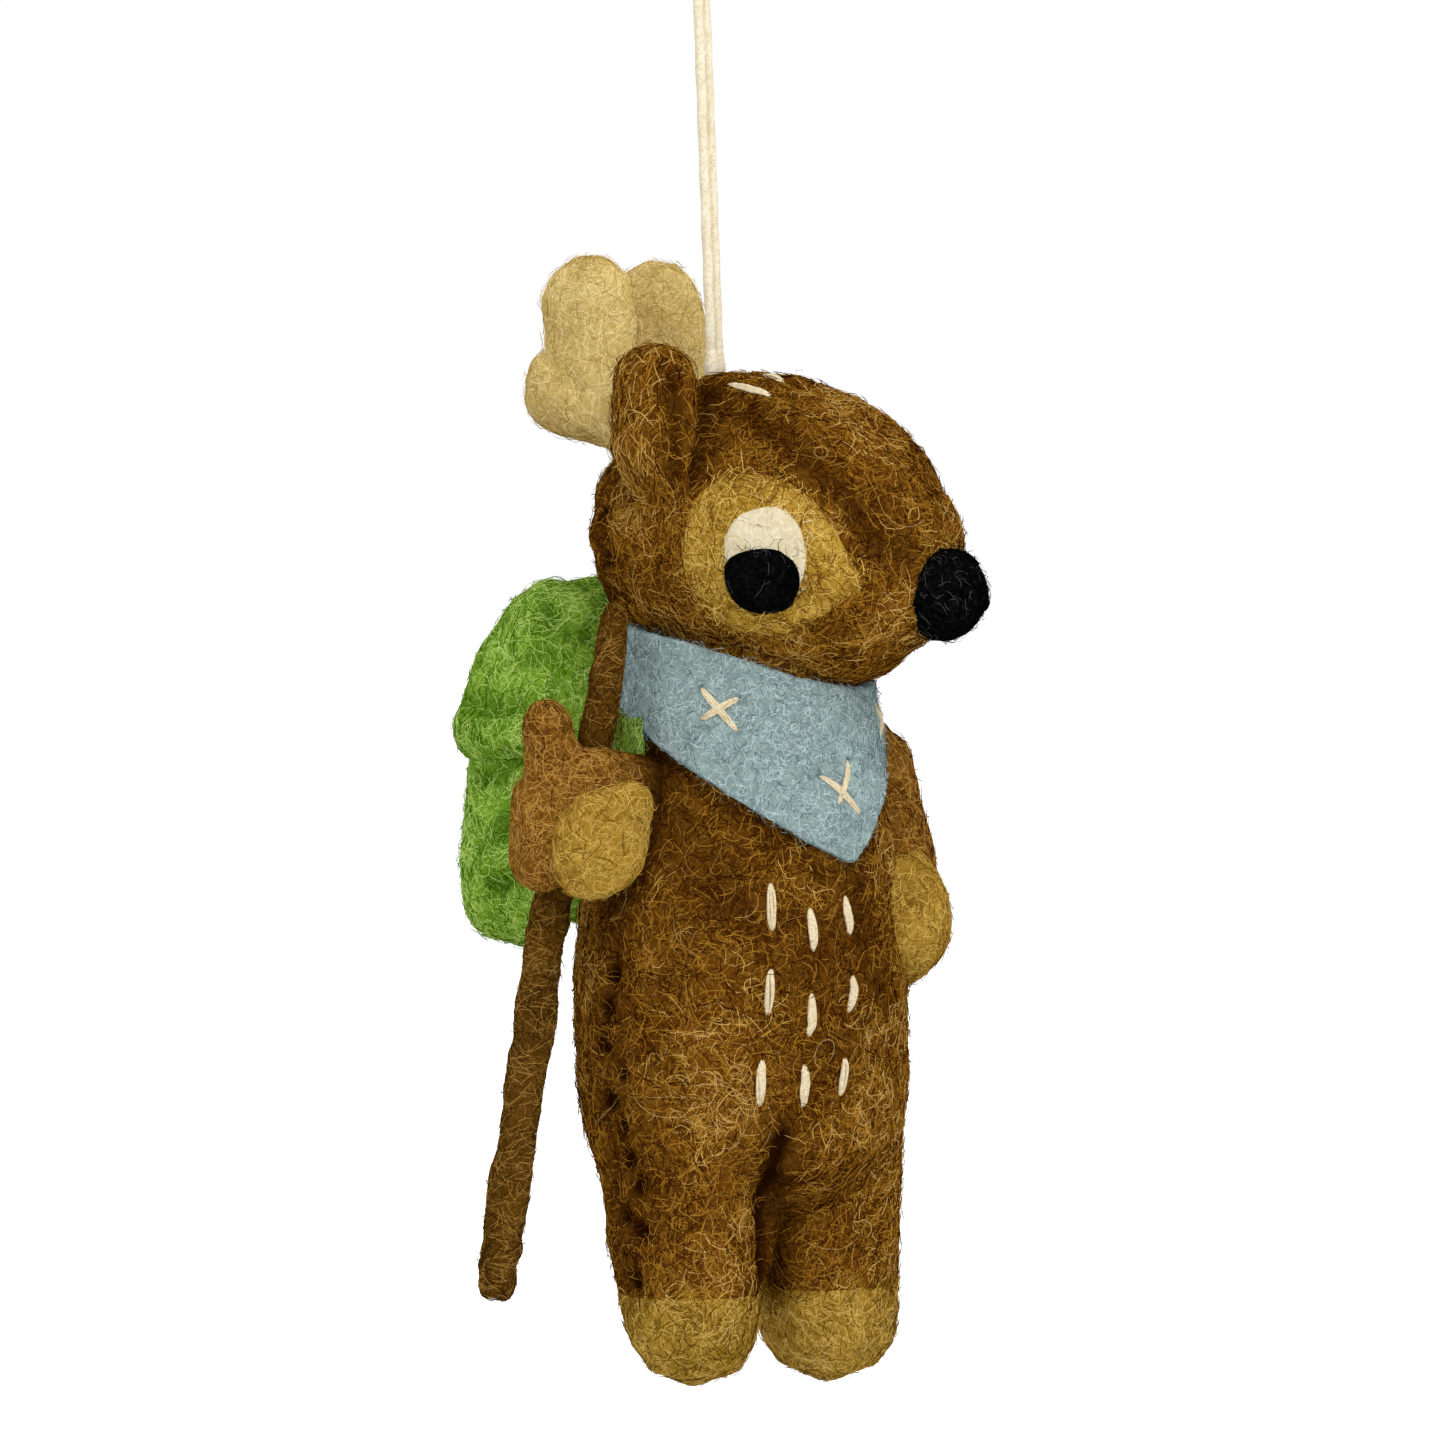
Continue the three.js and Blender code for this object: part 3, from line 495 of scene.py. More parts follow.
@dataclass(frozen=True)
class ThreadFinish(Finish):
    """Twisted cotton: fine plies that run along the thread."""

    name: str
    slot: str
    main: Colour
    shade: Colour
    ply: float = 0.35
    gloss: float = 0.7
    drift_grain: float = 2.4
    drift_span: Span = (0.1, 0.55)
    ply_span: Span = (0.34, 0.62)
    relief: float = 0.06

    def paint(self, sheet: NodeSheet) -> bpy.types.Material:
        """Shades the plies, paler and darker in long drifts.

        Args:
            sheet: the empty sheet.

        Returns:
            The material.
        """
        where = sheet.places()
        drift = sheet.noise(where, self.drift_grain, 2.0, 0.3)
        fine = sheet.noise(where, self.ply, 3.0, 1.2)
        plies = sheet.spread(fine, *self.ply_span)
        share = sheet.combine("MULTIPLY", plies, sheet.spread(drift, *self.drift_span))
        sheet.link(sheet.blend(share, self.shade, self.main), sheet.shader.inputs["Base Color"])
        sheet.bump(fine, self.relief, 0.6)
        return sheet.finish(self.gloss, 0.0, self.main)


@dataclass(frozen=True)
class WireFinish(Finish):
    """Drawn steel wire inside the walking stick."""

    name: str = "drawn_wire"
    main: Colour = (143, 146, 150)
    worn: Colour = (104, 102, 100)
    mark_grain: float = 1.2
    mark_span: Span = (0.35, 0.7)
    relief: float = 0.02
    metal: float = 0.9
    roughness: float = 0.4

    def paint(self, sheet: NodeSheet) -> bpy.types.Material:
        """Shades the drawing marks and gives the wire its metal.

        Args:
            sheet: the empty sheet.

        Returns:
            The material.
        """
        marks = sheet.noise(sheet.places(), self.mark_grain, 4.0, 0.8)
        worn = sheet.blend(sheet.spread(marks, *self.mark_span), self.worn, self.main)
        sheet.link(worn, sheet.shader.inputs["Base Color"])
        sheet.bump(marks, self.relief, 0.4)
        sheet.shader.inputs["Metallic"].default_value = self.metal
        return sheet.finish(self.roughness, 0.0, self.main)


def mesh_object(name: str, data: bpy.types.Mesh, materials: Sequence[bpy.types.Material]) -> bpy.types.Object:
    """Makes an object of a mesh, with its materials, and links it to the scene.

    The list is emptied only where it holds something, because that puts every face back on number 0.

    Args:
        name: the object's name.
        data: its mesh.
        materials: its materials, in the order of the faces' numbers.

    Returns:
        The object.
    """
    if len(data.materials):
        data.materials.clear()
    for material in materials:
        data.materials.append(material)
    made = bpy.data.objects.new(name, data)
    bpy.context.scene.collection.objects.link(made)
    return made


def mesh_from_rows(
    name: str, places: Array, faces: Sequence[Array], kinds: Optional[Array] = None
) -> bpy.types.Mesh:
    """Builds a smooth mesh from arrays.

    Args:
        name: the mesh's name.
        places: its points in millimetres, one a row.
        faces: arrays of faces, one array for each number of corners.
        kinds: the material number of each face, in the order of faces.

    Returns:
        The mesh in metres.
    """
    data = bpy.data.meshes.new(name)
    corners = np.concatenate([block.ravel() for block in faces])
    totals = np.concatenate([np.full(len(block), block.shape[1]) for block in faces])
    starts = np.concatenate([[0], np.cumsum(totals)[:-1]])
    data.vertices.add(len(places))
    data.vertices.foreach_set("co", (places * MM).astype(np.float32).ravel())
    data.loops.add(len(corners))
    data.loops.foreach_set("vertex_index", corners.astype(np.int32))
    data.polygons.add(len(totals))
    data.polygons.foreach_set("loop_start", starts.astype(np.int32))
    data.polygons.foreach_set("loop_total", totals.astype(np.int32))
    if kinds is not None:
        data.polygons.foreach_set("material_index", kinds.astype(np.int32))
    data.update(calc_edges=True)
    data.shade_smooth()
    return data


class WoolMesh:
    """A dense mesh of a felted form, worked on as arrays in millimetres."""

    weld = 0.002
    cut_slack = 1e-7
    smooth_pulls = (0.52, -0.53)
    relax_pull = 0.5
    press_reach = 3

    def __init__(self, data: bpy.types.Mesh) -> None:
        """Reads the mesh's points and edges.

        Args:
            data: the mesh in metres.
        """
        self.data = data
        self.places = read_rows(data.vertices, "co", 3, np.float32).astype(float) / MM
        self.edges = read_rows(data.edges, "vertices", 2, np.int32)
        # How much painted shade each point has, from 0 to 1: shade in creases, holes and shadowed places
        self.painted_shade = np.zeros(len(self.places))
        self.tree: Optional[BVHTree] = None
        self.corners = [tuple(face.vertices) for face in data.polygons]

    @classmethod
    def grown(cls, name: str, nodes: Sequence[bpy.types.Object], voxel: float) -> "WoolMesh":
        """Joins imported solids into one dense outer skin.

        Args:
            name: the new mesh's name.
            nodes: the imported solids.
            voxel: the size of a mesh cell in millimetres.

        Returns:
            The skin, without the hollows inside it.
        """
        merged = bmesh.new()
        for node in nodes:
            merged.from_mesh(node.data)
        bmesh.ops.remove_doubles(merged, verts=merged.verts, dist=cls.weld * MM)
        rough = bpy.data.meshes.new(name + "_rough")
        merged.to_mesh(rough)
        merged.free()
        holder = bpy.data.objects.new(name + "_holder", rough)
        bpy.context.scene.collection.objects.link(holder)
        remesh = holder.modifiers.new("cells", "REMESH")
        remesh.mode = "VOXEL"
        remesh.voxel_size = voxel * MM
        remesh.use_smooth_shade = True
        graph = bpy.context.evaluated_depsgraph_get()
        dense = bpy.data.meshes.new_from_object(holder.evaluated_get(graph))
        dense.name = name
        bpy.data.objects.remove(holder)
        bpy.data.meshes.remove(rough)
        cls.keep_outer(dense)
        return cls(dense)

    @staticmethod
    def keep_outer(data: bpy.types.Mesh) -> None:
        """Keeps the part of a mesh with the most points and drops what lies loose inside it.

        Args:
            data: the mesh, which is changed in place.
        """
        edges = read_rows(data.edges, "vertices", 2, np.int32)
        label = np.arange(len(data.vertices))
        while True:
            low = np.minimum(label[edges[:, 0]], label[edges[:, 1]])
            fresh = label.copy()
            np.minimum.at(fresh, edges[:, 0], low)
            np.minimum.at(fresh, edges[:, 1], low)
            fresh = fresh[fresh]
            if np.array_equal(fresh, label):
                break
            label = fresh
        names, counts = np.unique(label, return_counts=True)
        if len(names) == 1:
            return
        main = names[np.argmax(counts)]
        work = bmesh.new()
        work.from_mesh(data)
        work.verts.ensure_lookup_table()
        loose = [work.verts[int(index)] for index in np.nonzero(label != main)[0]]
        bmesh.ops.delete(work, geom=loose, context="VERTS")
        work.to_mesh(data)
        work.free()

    def even_out(self, pulls: Sequence[float], weight: Array) -> None:
        """Moves each point towards the middle of its neighbours, once for each pull.

        Args:
            pulls: the share of the way that the points go, negative for away from that middle.
            weight: how much of it each point takes, from 0 to 1.
        """
        count = len(self.places)
        both = np.concatenate([self.edges, self.edges[:, ::-1]])
        degree = np.maximum(np.bincount(both[:, 0], minlength=count), 1)
        for pull in pulls:
            sums = [np.bincount(both[:, 0], self.places[both[:, 1], axis], count) for axis in range(3)]
            mean = np.stack(sums, axis=1) / degree[:, None]
            self.places = self.places + (mean - self.places) * (pull * weight)[:, None]

    def smooth(self, rounds: int) -> None:
        """Evens the form out without shrinking it, by going in and back out again."""
        self.even_out(self.smooth_pulls * rounds, np.ones(len(self.places)))

    def relax(self, rounds: int, weight: Array) -> None:
        """Softens the form where the weight says so, so that a hard corner sinks."""
        self.even_out((self.relax_pull,) * rounds, weight)

    def normals(self) -> Array:
        """Gives the direction out of the wool at each point."""
        self.write()
        return read_rows(self.data.vertices, "normal", 3, np.float32).astype(float)

    def push(self, depth: Array | float) -> None:
        """Moves each point out of the wool by a depth in millimetres, or in where it is negative."""
        self.places = self.places + self.normals() * np.asarray(depth).reshape(-1, 1)

    def write(self) -> None:
        """Puts the points back into the mesh, in metres."""
        self.data.vertices.foreach_set("co", (self.places * MM).astype(np.float32).ravel())
        self.data.update()
        self.tree = None

    def near(self) -> BVHTree:
        """Gives a search tree of the surface in millimetres."""
        if self.tree is None:
            self.write()
            self.tree = BVHTree.FromPolygons(self.places.tolist(), self.corners)
        return self.tree

    def near_with(self, others: Sequence["WoolMesh"]) -> BVHTree:
        """Gives a search tree of this surface and its neighbours, in millimetres.

        Args:
            others: the neighbours, or none.

        Returns:
            The search tree.
        """
        if not others:
            return self.near()
        places, corners = self.places.tolist(), list(self.corners)
        for other in others:
            start = len(places)
            places += other.places.tolist()
            corners += [tuple(number + start for number in face) for face in other.corners]
        return BVHTree.FromPolygons(places, corners)

    def seen_at(self, pixel: Pixel) -> Optional[Array]:
        """Finds where the photograph's ray through a pixel first meets the wool."""
        hit = self.near().ray_cast(VIEW.eye(), VIEW.ray(pixel))
        return None if hit[0] is None else np.array(hit[0])

    def line_seen(self, pixels: Pixels) -> Array:
        """Gives the wool's places at those pixels of a row where the photograph shows it."""
        seen = [self.seen_at(pixel) for pixel in pixels]
        return np.array([spot for spot in seen if spot is not None])

    def beside(self, pixel: Pixel) -> Array:
        """Finds the wool where the photograph's ray meets it, or nearest to it where the ray just misses.

        Args:
            pixel: a pixel of the photograph.

        Returns:
            The place in millimetres.
        """
        seen = self.seen_at(pixel)
        if seen is not None:
            return seen
        way = np.array(VIEW.ray(pixel))
        eye = np.array(VIEW.eye())
        offset = self.places - eye
        along = offset @ way
        gap = np.linalg.norm(offset - along[:, None] * way, axis=1)
        return self.places[int(np.argmin(gap))]

    def line_beside(self, pixels: Pixels) -> Array:
        """Gives the wool's places at or nearest to a row of pixels."""
        return np.array([self.beside(pixel) for pixel in pixels])

    def swell(self, rows: Swells) -> None:
        """Swells the wool softly round places of the photograph, or sinks it.

        Args:
            rows: across and down in pixels, the radius and the height in millimetres of each place.
        """
        for across, down, radius, height in rows:
            gap = np.linalg.norm(self.places - self.beside((across, down)), axis=1)
            self.push(height * bell(gap, radius))

    def lift_round(self, row: Swell) -> None:
        """Lifts the wool round a place of the photograph straight away from the figure's upright axis.

        Args:
            row: across and down in pixels, the radius and the height in millimetres.
        """
        across, down, radius, height = row
        gap = np.linalg.norm(self.places - self.beside((across, down)), axis=1)
        away = self.places - np.array([FIGURE.axis_x, FIGURE.axis_y, 0.0])
        away[:, 2] = 0.0
        self.places = self.places + unit(away) * (height * bell(gap, radius))[:, None]
        self.tree = None

    def shift(self, way: Sequence[float], amount: Array | float) -> None:
        """Moves each point along one direction by its own amount in millimetres."""
        self.places = self.places + np.array(way) * np.asarray(amount).reshape(-1, 1)
        self.tree = None

    def sink_into(self, other: "WoolMesh", weight: Array, depth: float) -> None:
        """Sinks a part of the wool into its neighbour, so that the two run together.

        Args:
            other: the neighbour.
            weight: how much each point moves, from 0 to 1.
            depth: how far below the neighbour's surface it ends, in millimetres.
        """
        find = other.near().find_nearest
        for index in np.nonzero(weight > 0.01)[0]:
            spot, way = find(self.places[index].tolist())[:2]
            height = float((self.places[index] - np.array(spot)) @ np.array(way))
            if height > -depth:
                self.places[index] -= np.array(way) * (height + depth) * weight[index]
        self.tree = None

    def press(self, path: Array, width: float, depth: float, painted_shade: float) -> None:
        """Presses a groove along a path, or a dimple where the path is one point, with painted shade in it.

        Args:
            path: its points in millimetres, one a row.
            width: the groove's half width in millimetres.
            depth: how deep it goes in millimetres.
            painted_shade: how dark the painted shade at its bottom gets, from 0 to 1.
        """
        gap = distance_to_path(self.places, path)
        shape = bell(gap, width)
        near = gap < width * self.press_reach
        self.push(np.where(near, -depth * shape, 0.0))
        self.paint_shade(np.where(near, np.minimum(painted_shade * shape, 1.0), 0.0))

    def shade(self, rows: Shades) -> None:
        """Paints shade beside rows of pixels, each with its half width and how dark the painted shade gets.
        """
        for width, painted_shade, pixels in rows:
            self.press(self.line_beside(pixels), width, 0.0, painted_shade)

    def paint_shade(self, painted_shade: Array) -> None:
        """Paints shade: makes each point at least as dark as its own number says."""
        self.painted_shade = np.maximum(self.painted_shade, painted_shade)

    def store_painted_shade(self) -> None:
        """Writes the painted shade into the mesh for its material."""
        self.write()
        layer = self.data.attributes.get("painted_shade") or self.data.attributes.new("painted_shade", "FLOAT", "POINT")
        layer.data.foreach_set("value", self.painted_shade.astype(np.float32))

    def area(self) -> float:
        """Gives the surface in square millimetres."""
        self.write()
        sizes = np.zeros(len(self.data.polygons), np.float32)
        self.data.polygons.foreach_get("area", sizes)
        return float(sizes.sum()) / MM / MM

    def cut(self, name: str, planes: Sequence[tuple[Place, Place]]) -> bpy.types.Mesh:
        """Cuts a closed part out of the wool.

        Args:
            name: the part's name.
            planes: a point in millimetres and a direction for each cut. The side it points to goes.

        Returns:
            The part, closed where it was cut.
        """
        self.store_painted_shade()
        work = bmesh.new()
        work.from_mesh(self.data)
        for point, way in planes:
            bmesh.ops.bisect_plane(
                work,
                geom=list(work.verts) + list(work.edges) + list(work.faces),
                plane_co=Vector(point) * MM,
                plane_no=Vector(way),
                clear_outer=True,
                dist=self.cut_slack,
            )
            rim = [edge for edge in work.edges if edge.is_boundary]
            bmesh.ops.holes_fill(work, edges=rim, sides=0)
        part = bpy.data.meshes.new(name)
        work.to_mesh(part)
        work.free()
        part.shade_smooth()
        return part


def ease(value: Array, low: float, high: float) -> Array:
    """Maps values softly from 0 at low to 1 at high, held at both ends."""
    share = np.clip((value - low) / (high - low), 0, 1)
    return share * share * (3 - 2 * share)


def distance_to_path(places: Array, path: Array) -> Array:
    """Measures how far each point is from a path of straight runs.

    Args:
        places: the points, one a row.
        path: the path's points, one a row.

    Returns:
        One distance for each point.
    """
    if len(path) == 1:
        return np.linalg.norm(places - path[0], axis=1)
    best = np.full(len(places), np.inf)
    for start, end in zip(path[:-1], path[1:]):
        run = end - start
        share = np.clip((places - start) @ run / max(float(run @ run), 1e-9), 0, 1)
        best = np.minimum(best, np.linalg.norm(places - start - share[:, None] * run, axis=1))
    return best


def curve_point(before: Array, start: Array, end: Array, after: Array, t: float) -> Array:
    """Gives the point at a share of the way from start to end, on a smooth curve through all four."""
    bend = 2 * before - 5 * start + 4 * end - after
    turn = 3 * start - before - 3 * end + after
    return 0.5 * (2 * start + (end - before) * t + bend * t * t + turn * t ** 3)


@dataclass(frozen=True)
class FibreCoat:
    """Loose curled fibres over felted wool, each one a thin closed strand."""

    shades: tuple[FibreShade, ...]
    per_mm2: float = 2.4
    length: Span = (2.0, 4.6)
    thickness: float = 0.085
    curl: float = 0.42
    lift: float = 0.1
    standing: float = 0.05
    stand_height: float = 0.9
    lay: Lay = Lay.ANY
    axis: Place = (0.0, 0.0, 1.0)
    patch: float = 4.5
    most: int = 8200
    rim: Optional[FibreShade] = None
    rim_reach: float = 0.6
    rim_share: float = 0.75
    steps: int = 5
    # Where shade is painted on the wool, fewer fibres grow there, and they are shorter and darker
    bare: float = 0.85
    quick_share: float = 0.3
    most_in_all: int = 60000
    lead_loose: float = 0.45
    lead_curl: float = 0.5
    step_curl: float = 0.6
    painted_shade_short: float = 0.55
    painted_shade_dark: float = 0.9
    patch_drift: Span = (0.26, 0.12)
    fine_patch: float = 0.4
    seat: float = 0.2
    stand_spread: Span = (0.35, 1.5)
    stand_bend: float = 1.3
    thick_spread: Span = (0.7, 1.3)

    def roots(self, wool: WoolMesh, where: Where, rng: np.random.Generator) -> tuple[Array, Array, Array]:
        """Scatters the fibres' first points evenly over the wool.

        Args:
            wool: the form that they lie on.
            where: tells for each place whether this coat grows there, or nothing for everywhere.
            rng: the piece's own seeded source.

        Returns:
            Their places, the directions out of the wool, and how much painted shade the wool has there.
        """
        ways = wool.normals()
        wool.data.calc_loop_triangles()
        corners = read_rows(wool.data.loop_triangles, "vertices", 3, np.int32)
        a, b, c = (wool.places[corners[:, side]] for side in range(3))
        sizes = np.linalg.norm(np.cross(b - a, c - a), axis=1) / 2
        # Fewer fibres grow where shade is painted, so that the painted shade shows
        sizes = sizes * (1 - self.bare * wool.painted_shade[corners].mean(axis=1))
        if where is not None:
            sizes = sizes * where((a + b + c) / 3)
        dense = 1.0
        count = int(min(sizes.sum() * self.per_mm2 * dense, self.most_in_all))
        chosen = rng.choice(len(sizes), count, p=sizes / sizes.sum())
        first, second = rng.random(count), rng.random(count)
        flip = first + second > 1
        first, second = np.where(flip, 1 - first, first), np.where(flip, 1 - second, second)
        shares = np.stack([1 - first - second, first, second], axis=1)
        picked = corners[chosen]
        places = np.einsum("ns,nsk->nk", shares, wool.places[picked])
        outward = unit(np.einsum("ns,nsk->nk", shares, ways[picked]))
        painted_shade = np.einsum("ns,ns->n", shares, wool.painted_shade[picked])
        return places, outward, painted_shade

    def first_way(self, outward: Array, rng: np.random.Generator) -> Array:
        """Gives each fibre's first direction over the wool.

        Args:
            outward: the direction out of the wool at each root.
            rng: the piece's own seeded source.

        Returns:
            A unit direction for each fibre.
        """
        loose = laid_flat(rng.normal(size=outward.shape), outward)
        if self.lay is Lay.ANY:
            return loose
        level = unit(np.cross(outward, np.asarray(self.axis, float)))
        lead = level if self.lay is Lay.WOUND else unit(np.cross(level, outward))
        sign = np.where(rng.random(len(outward)) < 0.5, -1.0, 1.0)[:, None]
        return unit(lead * sign + loose * self.lead_loose)

    def strands(
        self, wool: WoolMesh, over: Sequence[WoolMesh], where: Where, rng: np.random.Generator
    ) -> tuple[Array, Array, Array, Array]:
        """Runs each fibre over the wool in short curling steps.

        Args:
            wool: the form that they are rooted in.
            over: its neighbours, which they may run onto.
            where: tells for each place whether this coat grows there.
            rng: the piece's own seeded source.

        Returns:
            The fibres' points, the directions out of the wool at each, how much painted shade the wool has at
            the root, and which fibres stand off.
        """
        place, outward, painted_shade = self.roots(wool, where, rng)
        count = len(place)
        way = self.first_way(outward, rng)
        loose = 1.0 if self.lay is Lay.ANY else self.lead_curl
        bend = rng.normal(0, self.curl * loose, count)
        span = rng.uniform(*self.length, count) * (1 - self.painted_shade_short * painted_shade)
        find = wool.near_with(over).find_nearest
        spots, outs = [place], [outward]
        for _ in range(self.steps):
            angle = (bend + rng.normal(0, self.curl * self.step_curl * loose, count)) * 5 / self.steps
            turned = way * np.cos(angle)[:, None] + np.cross(outward, way) * np.sin(angle)[:, None]
            aim = place + turned * (span / self.steps)[:, None]
            found = [find(point) for point in aim.tolist()]
            fresh = np.array([hit[0] for hit in found])
            outward = np.array([hit[1] for hit in found])
            way = laid_flat(unit(fresh - place), outward)
            place = fresh
            spots.append(place)
            outs.append(outward)
        return np.stack(spots, axis=1), np.stack(outs, axis=1), painted_shade, rng.random(count) < self.standing

    def lifted(self, spots: Array, outs: Array, stands: Array, rng: np.random.Generator) -> Array:
        """Lifts the fibres a little off the wool, and the standing ones well off it.

        Args:
            spots: the fibres' points on the wool.
            outs: the direction out of the wool at each.
            stands: tells which fibres stand off.
            rng: the piece's own seeded source.

        Returns:
            The lifted points.
        """
        count, points = spots.shape[:2]
        share = np.linspace(0, 1, points)
        arch = np.sin(share * math.pi)[None, :]
        low = self.lift * rng.random(count)[:, None] * arch + self.thickness * self.seat
        low[:, 0] = -self.thickness
        low[:, -1] = -self.thickness * self.seat
        high = self.stand_height * rng.uniform(*self.stand_spread, count)[:, None]
        high = high * (share ** self.stand_bend)[None, :]
        height = np.where(stands[:, None], high, low)
        return spots + outs * height[:, :, None]

    def shade_numbers(self, roots: Array, painted_shade: Array, seed: int, rng: np.random.Generator) -> Array:
        """Chooses each fibre's colour, darker and lighter in patches, and darker where shade is painted.

        Args:
            roots: where the fibres are rooted.
            painted_shade: how much painted shade the wool has at each root.
            seed: the piece's own seed.
            rng: the piece's own seeded source.

        Returns:
            The number of each fibre's shade.
        """
        noise = WoolNoise(seed)
        wide, fine = self.patch_drift
        drift = noise.at(roots, self.patch) * wide + noise.at(roots, self.patch * self.fine_patch) * fine
        # Darker fibres are picked where shade is painted
        mark = rng.random(len(roots)) + drift - painted_shade * self.painted_shade_dark
        shares = np.array([shade.share for shade in self.shades])
        limits = np.cumsum(shares / shares.sum())[:-1]
        return np.searchsorted(limits, np.clip(mark, 0, 0.9999))

    def grow(
        self, name: str, wool: WoolMesh, over: Sequence[WoolMesh] = (), where: Where = None
    ) -> list[bpy.types.Object]:
        """Grows the coat on a form.

        Args:
            name: the pieces' name, numbered where there are more than one.
            wool: the form that it lies on.
            over: its neighbours, which the fibres may run onto.
            where: tells for each place whether this coat grows there, or nothing for everywhere.

        Returns:
            The fibre pieces, each small enough to leave whole. They are so fine and clear that they keep
            no light from the wool below them.
        """
        seed = seed_of(name)
        rng = np.random.default_rng(seed)
        spots, outs, painted_shade, stands = self.strands(wool, over, where, rng)
        lines = self.lifted(spots, outs, stands, rng)
        kinds = self.shade_numbers(spots[:, 0], painted_shade, seed, rng)
        shades = list(self.shades)
        if self.rim and over:
            gap = np.array([over[0].near().find_nearest(spot)[3] for spot in spots[:, 0].tolist()])
            on_rim = rng.random(len(gap)) < self.rim_share * np.exp(-gap / self.rim_reach)
            kinds = np.where(on_rim, len(shades), kinds)
            shades.append(self.rim)
        order = np.argsort(spots[:, 0, 2], kind="stable")
        parts = max(1, math.ceil(len(order) / self.most))
        made = []
        for number, chosen in enumerate(np.array_split(order, parts), start=1):
            label = name if parts == 1 else f"{name}_{number}"
            data = self.strand_mesh(label, lines[chosen], outs[chosen], kinds[chosen], rng)
            fibres = mesh_object(label, data, [shade.material() for shade in shades])
            fibres.visible_shadow = False
            fibres.visible_diffuse = False
            made.append(fibres)
        return made

    def strand_mesh(
        self, name: str, lines: Array, outs: Array, kinds: Array, rng: np.random.Generator
    ) -> bpy.types.Mesh:
        """Builds three-sided closed strands along the fibres' points.

        Args:
            name: the mesh's name.
            lines: the fibres' points.
            outs: the direction out of the wool at each.
            kinds: the number of each fibre's shade.
            rng: the piece's own seeded source.

        Returns:
            The mesh.
        """
        count, points = lines.shape[:2]
        rings = points - 2
        along = unit(lines[:, 2:] - lines[:, :-2])
        across = unit(np.cross(along, outs[:, 1:-1]) + 1e-6)
        upward = np.cross(across, along)
        radius = (self.thickness / 2 * rng.uniform(*self.thick_spread, count))[:, None, None]
        ring_points = []
        for side in range(3):
            angle = TURN * (side / 3 + 1 / 12)
            offset = across * math.cos(angle) + upward * math.sin(angle)
            ring_points.append(lines[:, 1:-1] + offset * radius)
        middle = np.stack(ring_points, axis=2).reshape(count, rings * 3, 3)
        places = np.concatenate([lines[:, :1], middle, lines[:, -1:]], axis=1).reshape(-1, 3)
        start_tip = [(0, 1 + side, 1 + (side + 1) % 3) for side in range(3)]
        last = 1 + (rings - 1) * 3
        end_tip = [(last + side, 1 + rings * 3, last + (side + 1) % 3) for side in range(3)]
        walls = []
        for ring in range(rings - 1):
            here, there = 1 + ring * 3, 4 + ring * 3
            walls += [(here + s, there + s, there + (s + 1) % 3, here + (s + 1) % 3) for s in range(3)]
        base = (np.arange(count) * (rings * 3 + 2))[:, None, None]
        tips = (np.array(start_tip + end_tip)[None] + base).reshape(-1, 3)
        sides = (np.array(walls)[None] + base).reshape(-1, 4)
        numbers = np.concatenate([np.repeat(kinds, 6), np.repeat(kinds, len(walls))])
        return mesh_from_rows(name, places, [tips, sides], numbers)


@dataclass(frozen=True)
class FeltedPart:
    """One felted piece: the solid it stands for, its shaping, its finish and its coat."""

    name: str
    node: str
    finish: WoolFinish
    coat: Optional[FibreCoat]
    voxel: float = 0.4
    rounds: int = 4
    soften: int = 0
    puff: float = 0.05
    lumps: Lumps = ((7.0, 0.3), (2.6, 0.14), (1.2, 0.06))

    def shaped(self, nodes: Nodes) -> WoolMesh:
        """Grows the form from its solid, softened and lumped.

        Args:
            nodes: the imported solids.

        Returns:
            The form.
        """
        wool = WoolMesh.grown(self.name, [nodes[self.node]], self.voxel)
        wool.smooth(self.rounds)
        if self.soften:
            wool.relax(self.soften, np.ones(len(wool.places)))
        lump_up(wool, self.lumps, self.puff, seed_of(self.name))
        return wool

    def place(self, wool: WoolMesh, over: Sequence[WoolMesh] = ()) -> list[bpy.types.Object]:
        """Makes the piece and its fibres, on the fawn, in place of its solid.

        Args:
            wool: the shaped form.
            over: its neighbours, which its fibres may run onto.

        Returns:
            The piece, and after it its fibres.
        """
        wool.store_painted_shade()
        piece = mesh_object(self.name, wool.data, [self.finish.material()])
        wool.data.shade_smooth()
        settle(piece, Body.FAWN, [self.node])
        made = [piece]
        if self.coat:
            label = self.name.replace("_wool", "") + "_fibres"
            made += grow_settled(self.coat, label, wool, over)
        LOG.info("%s: %d points, %.0f mm2", self.name, len(wool.places), wool.area())
        return made

    def build(self, nodes: Nodes) -> None:
        """Shapes and places the piece with nothing pressed into it."""
        self.place(self.shaped(nodes))


def grow_settled(
    coat: FibreCoat,
    label: str,
    wool: WoolMesh,
    over: Sequence[WoolMesh] = (),
    where: Where = None,
) -> list[bpy.types.Object]:
    """Grows a coat on a form and settles its fibre pieces on the fawn.

    Args:
        coat: the fibres.
        label: the pieces' name.
        wool: the form that they lie on.
        over: its neighbours, which the fibres may run onto.
        where: tells for each place whether the coat grows there, or nothing for everywhere.

    Returns:
        The fibre pieces.
    """
    made = coat.grow(label, wool, over, where)
    for fibres in made:
        settle(fibres, Body.FAWN, [])
        LOG.info("%s: %d faces", fibres.name, len(fibres.data.polygons))
    return made


def cut_settled(
    wool: WoolMesh, name: str, node: str, finish: WoolFinish, planes: Sequence[tuple[Place, Place]]
) -> bpy.types.Object:
    """Cuts a piece out of a form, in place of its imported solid.

    Args:
        wool: the form that it is cut out of.
        name: the piece's name.
        node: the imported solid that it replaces.
        finish: its wool.
        planes: a point in millimetres and a direction for each cut. The side it points to goes.

    Returns:
        The piece, on the fawn.
    """
    part = wool.cut(name, planes)
    piece = mesh_object(name, part, [finish.material()])
    settle(piece, Body.FAWN, [node])
    LOG.info("%s: %d points", name, len(part.vertices))
    return piece


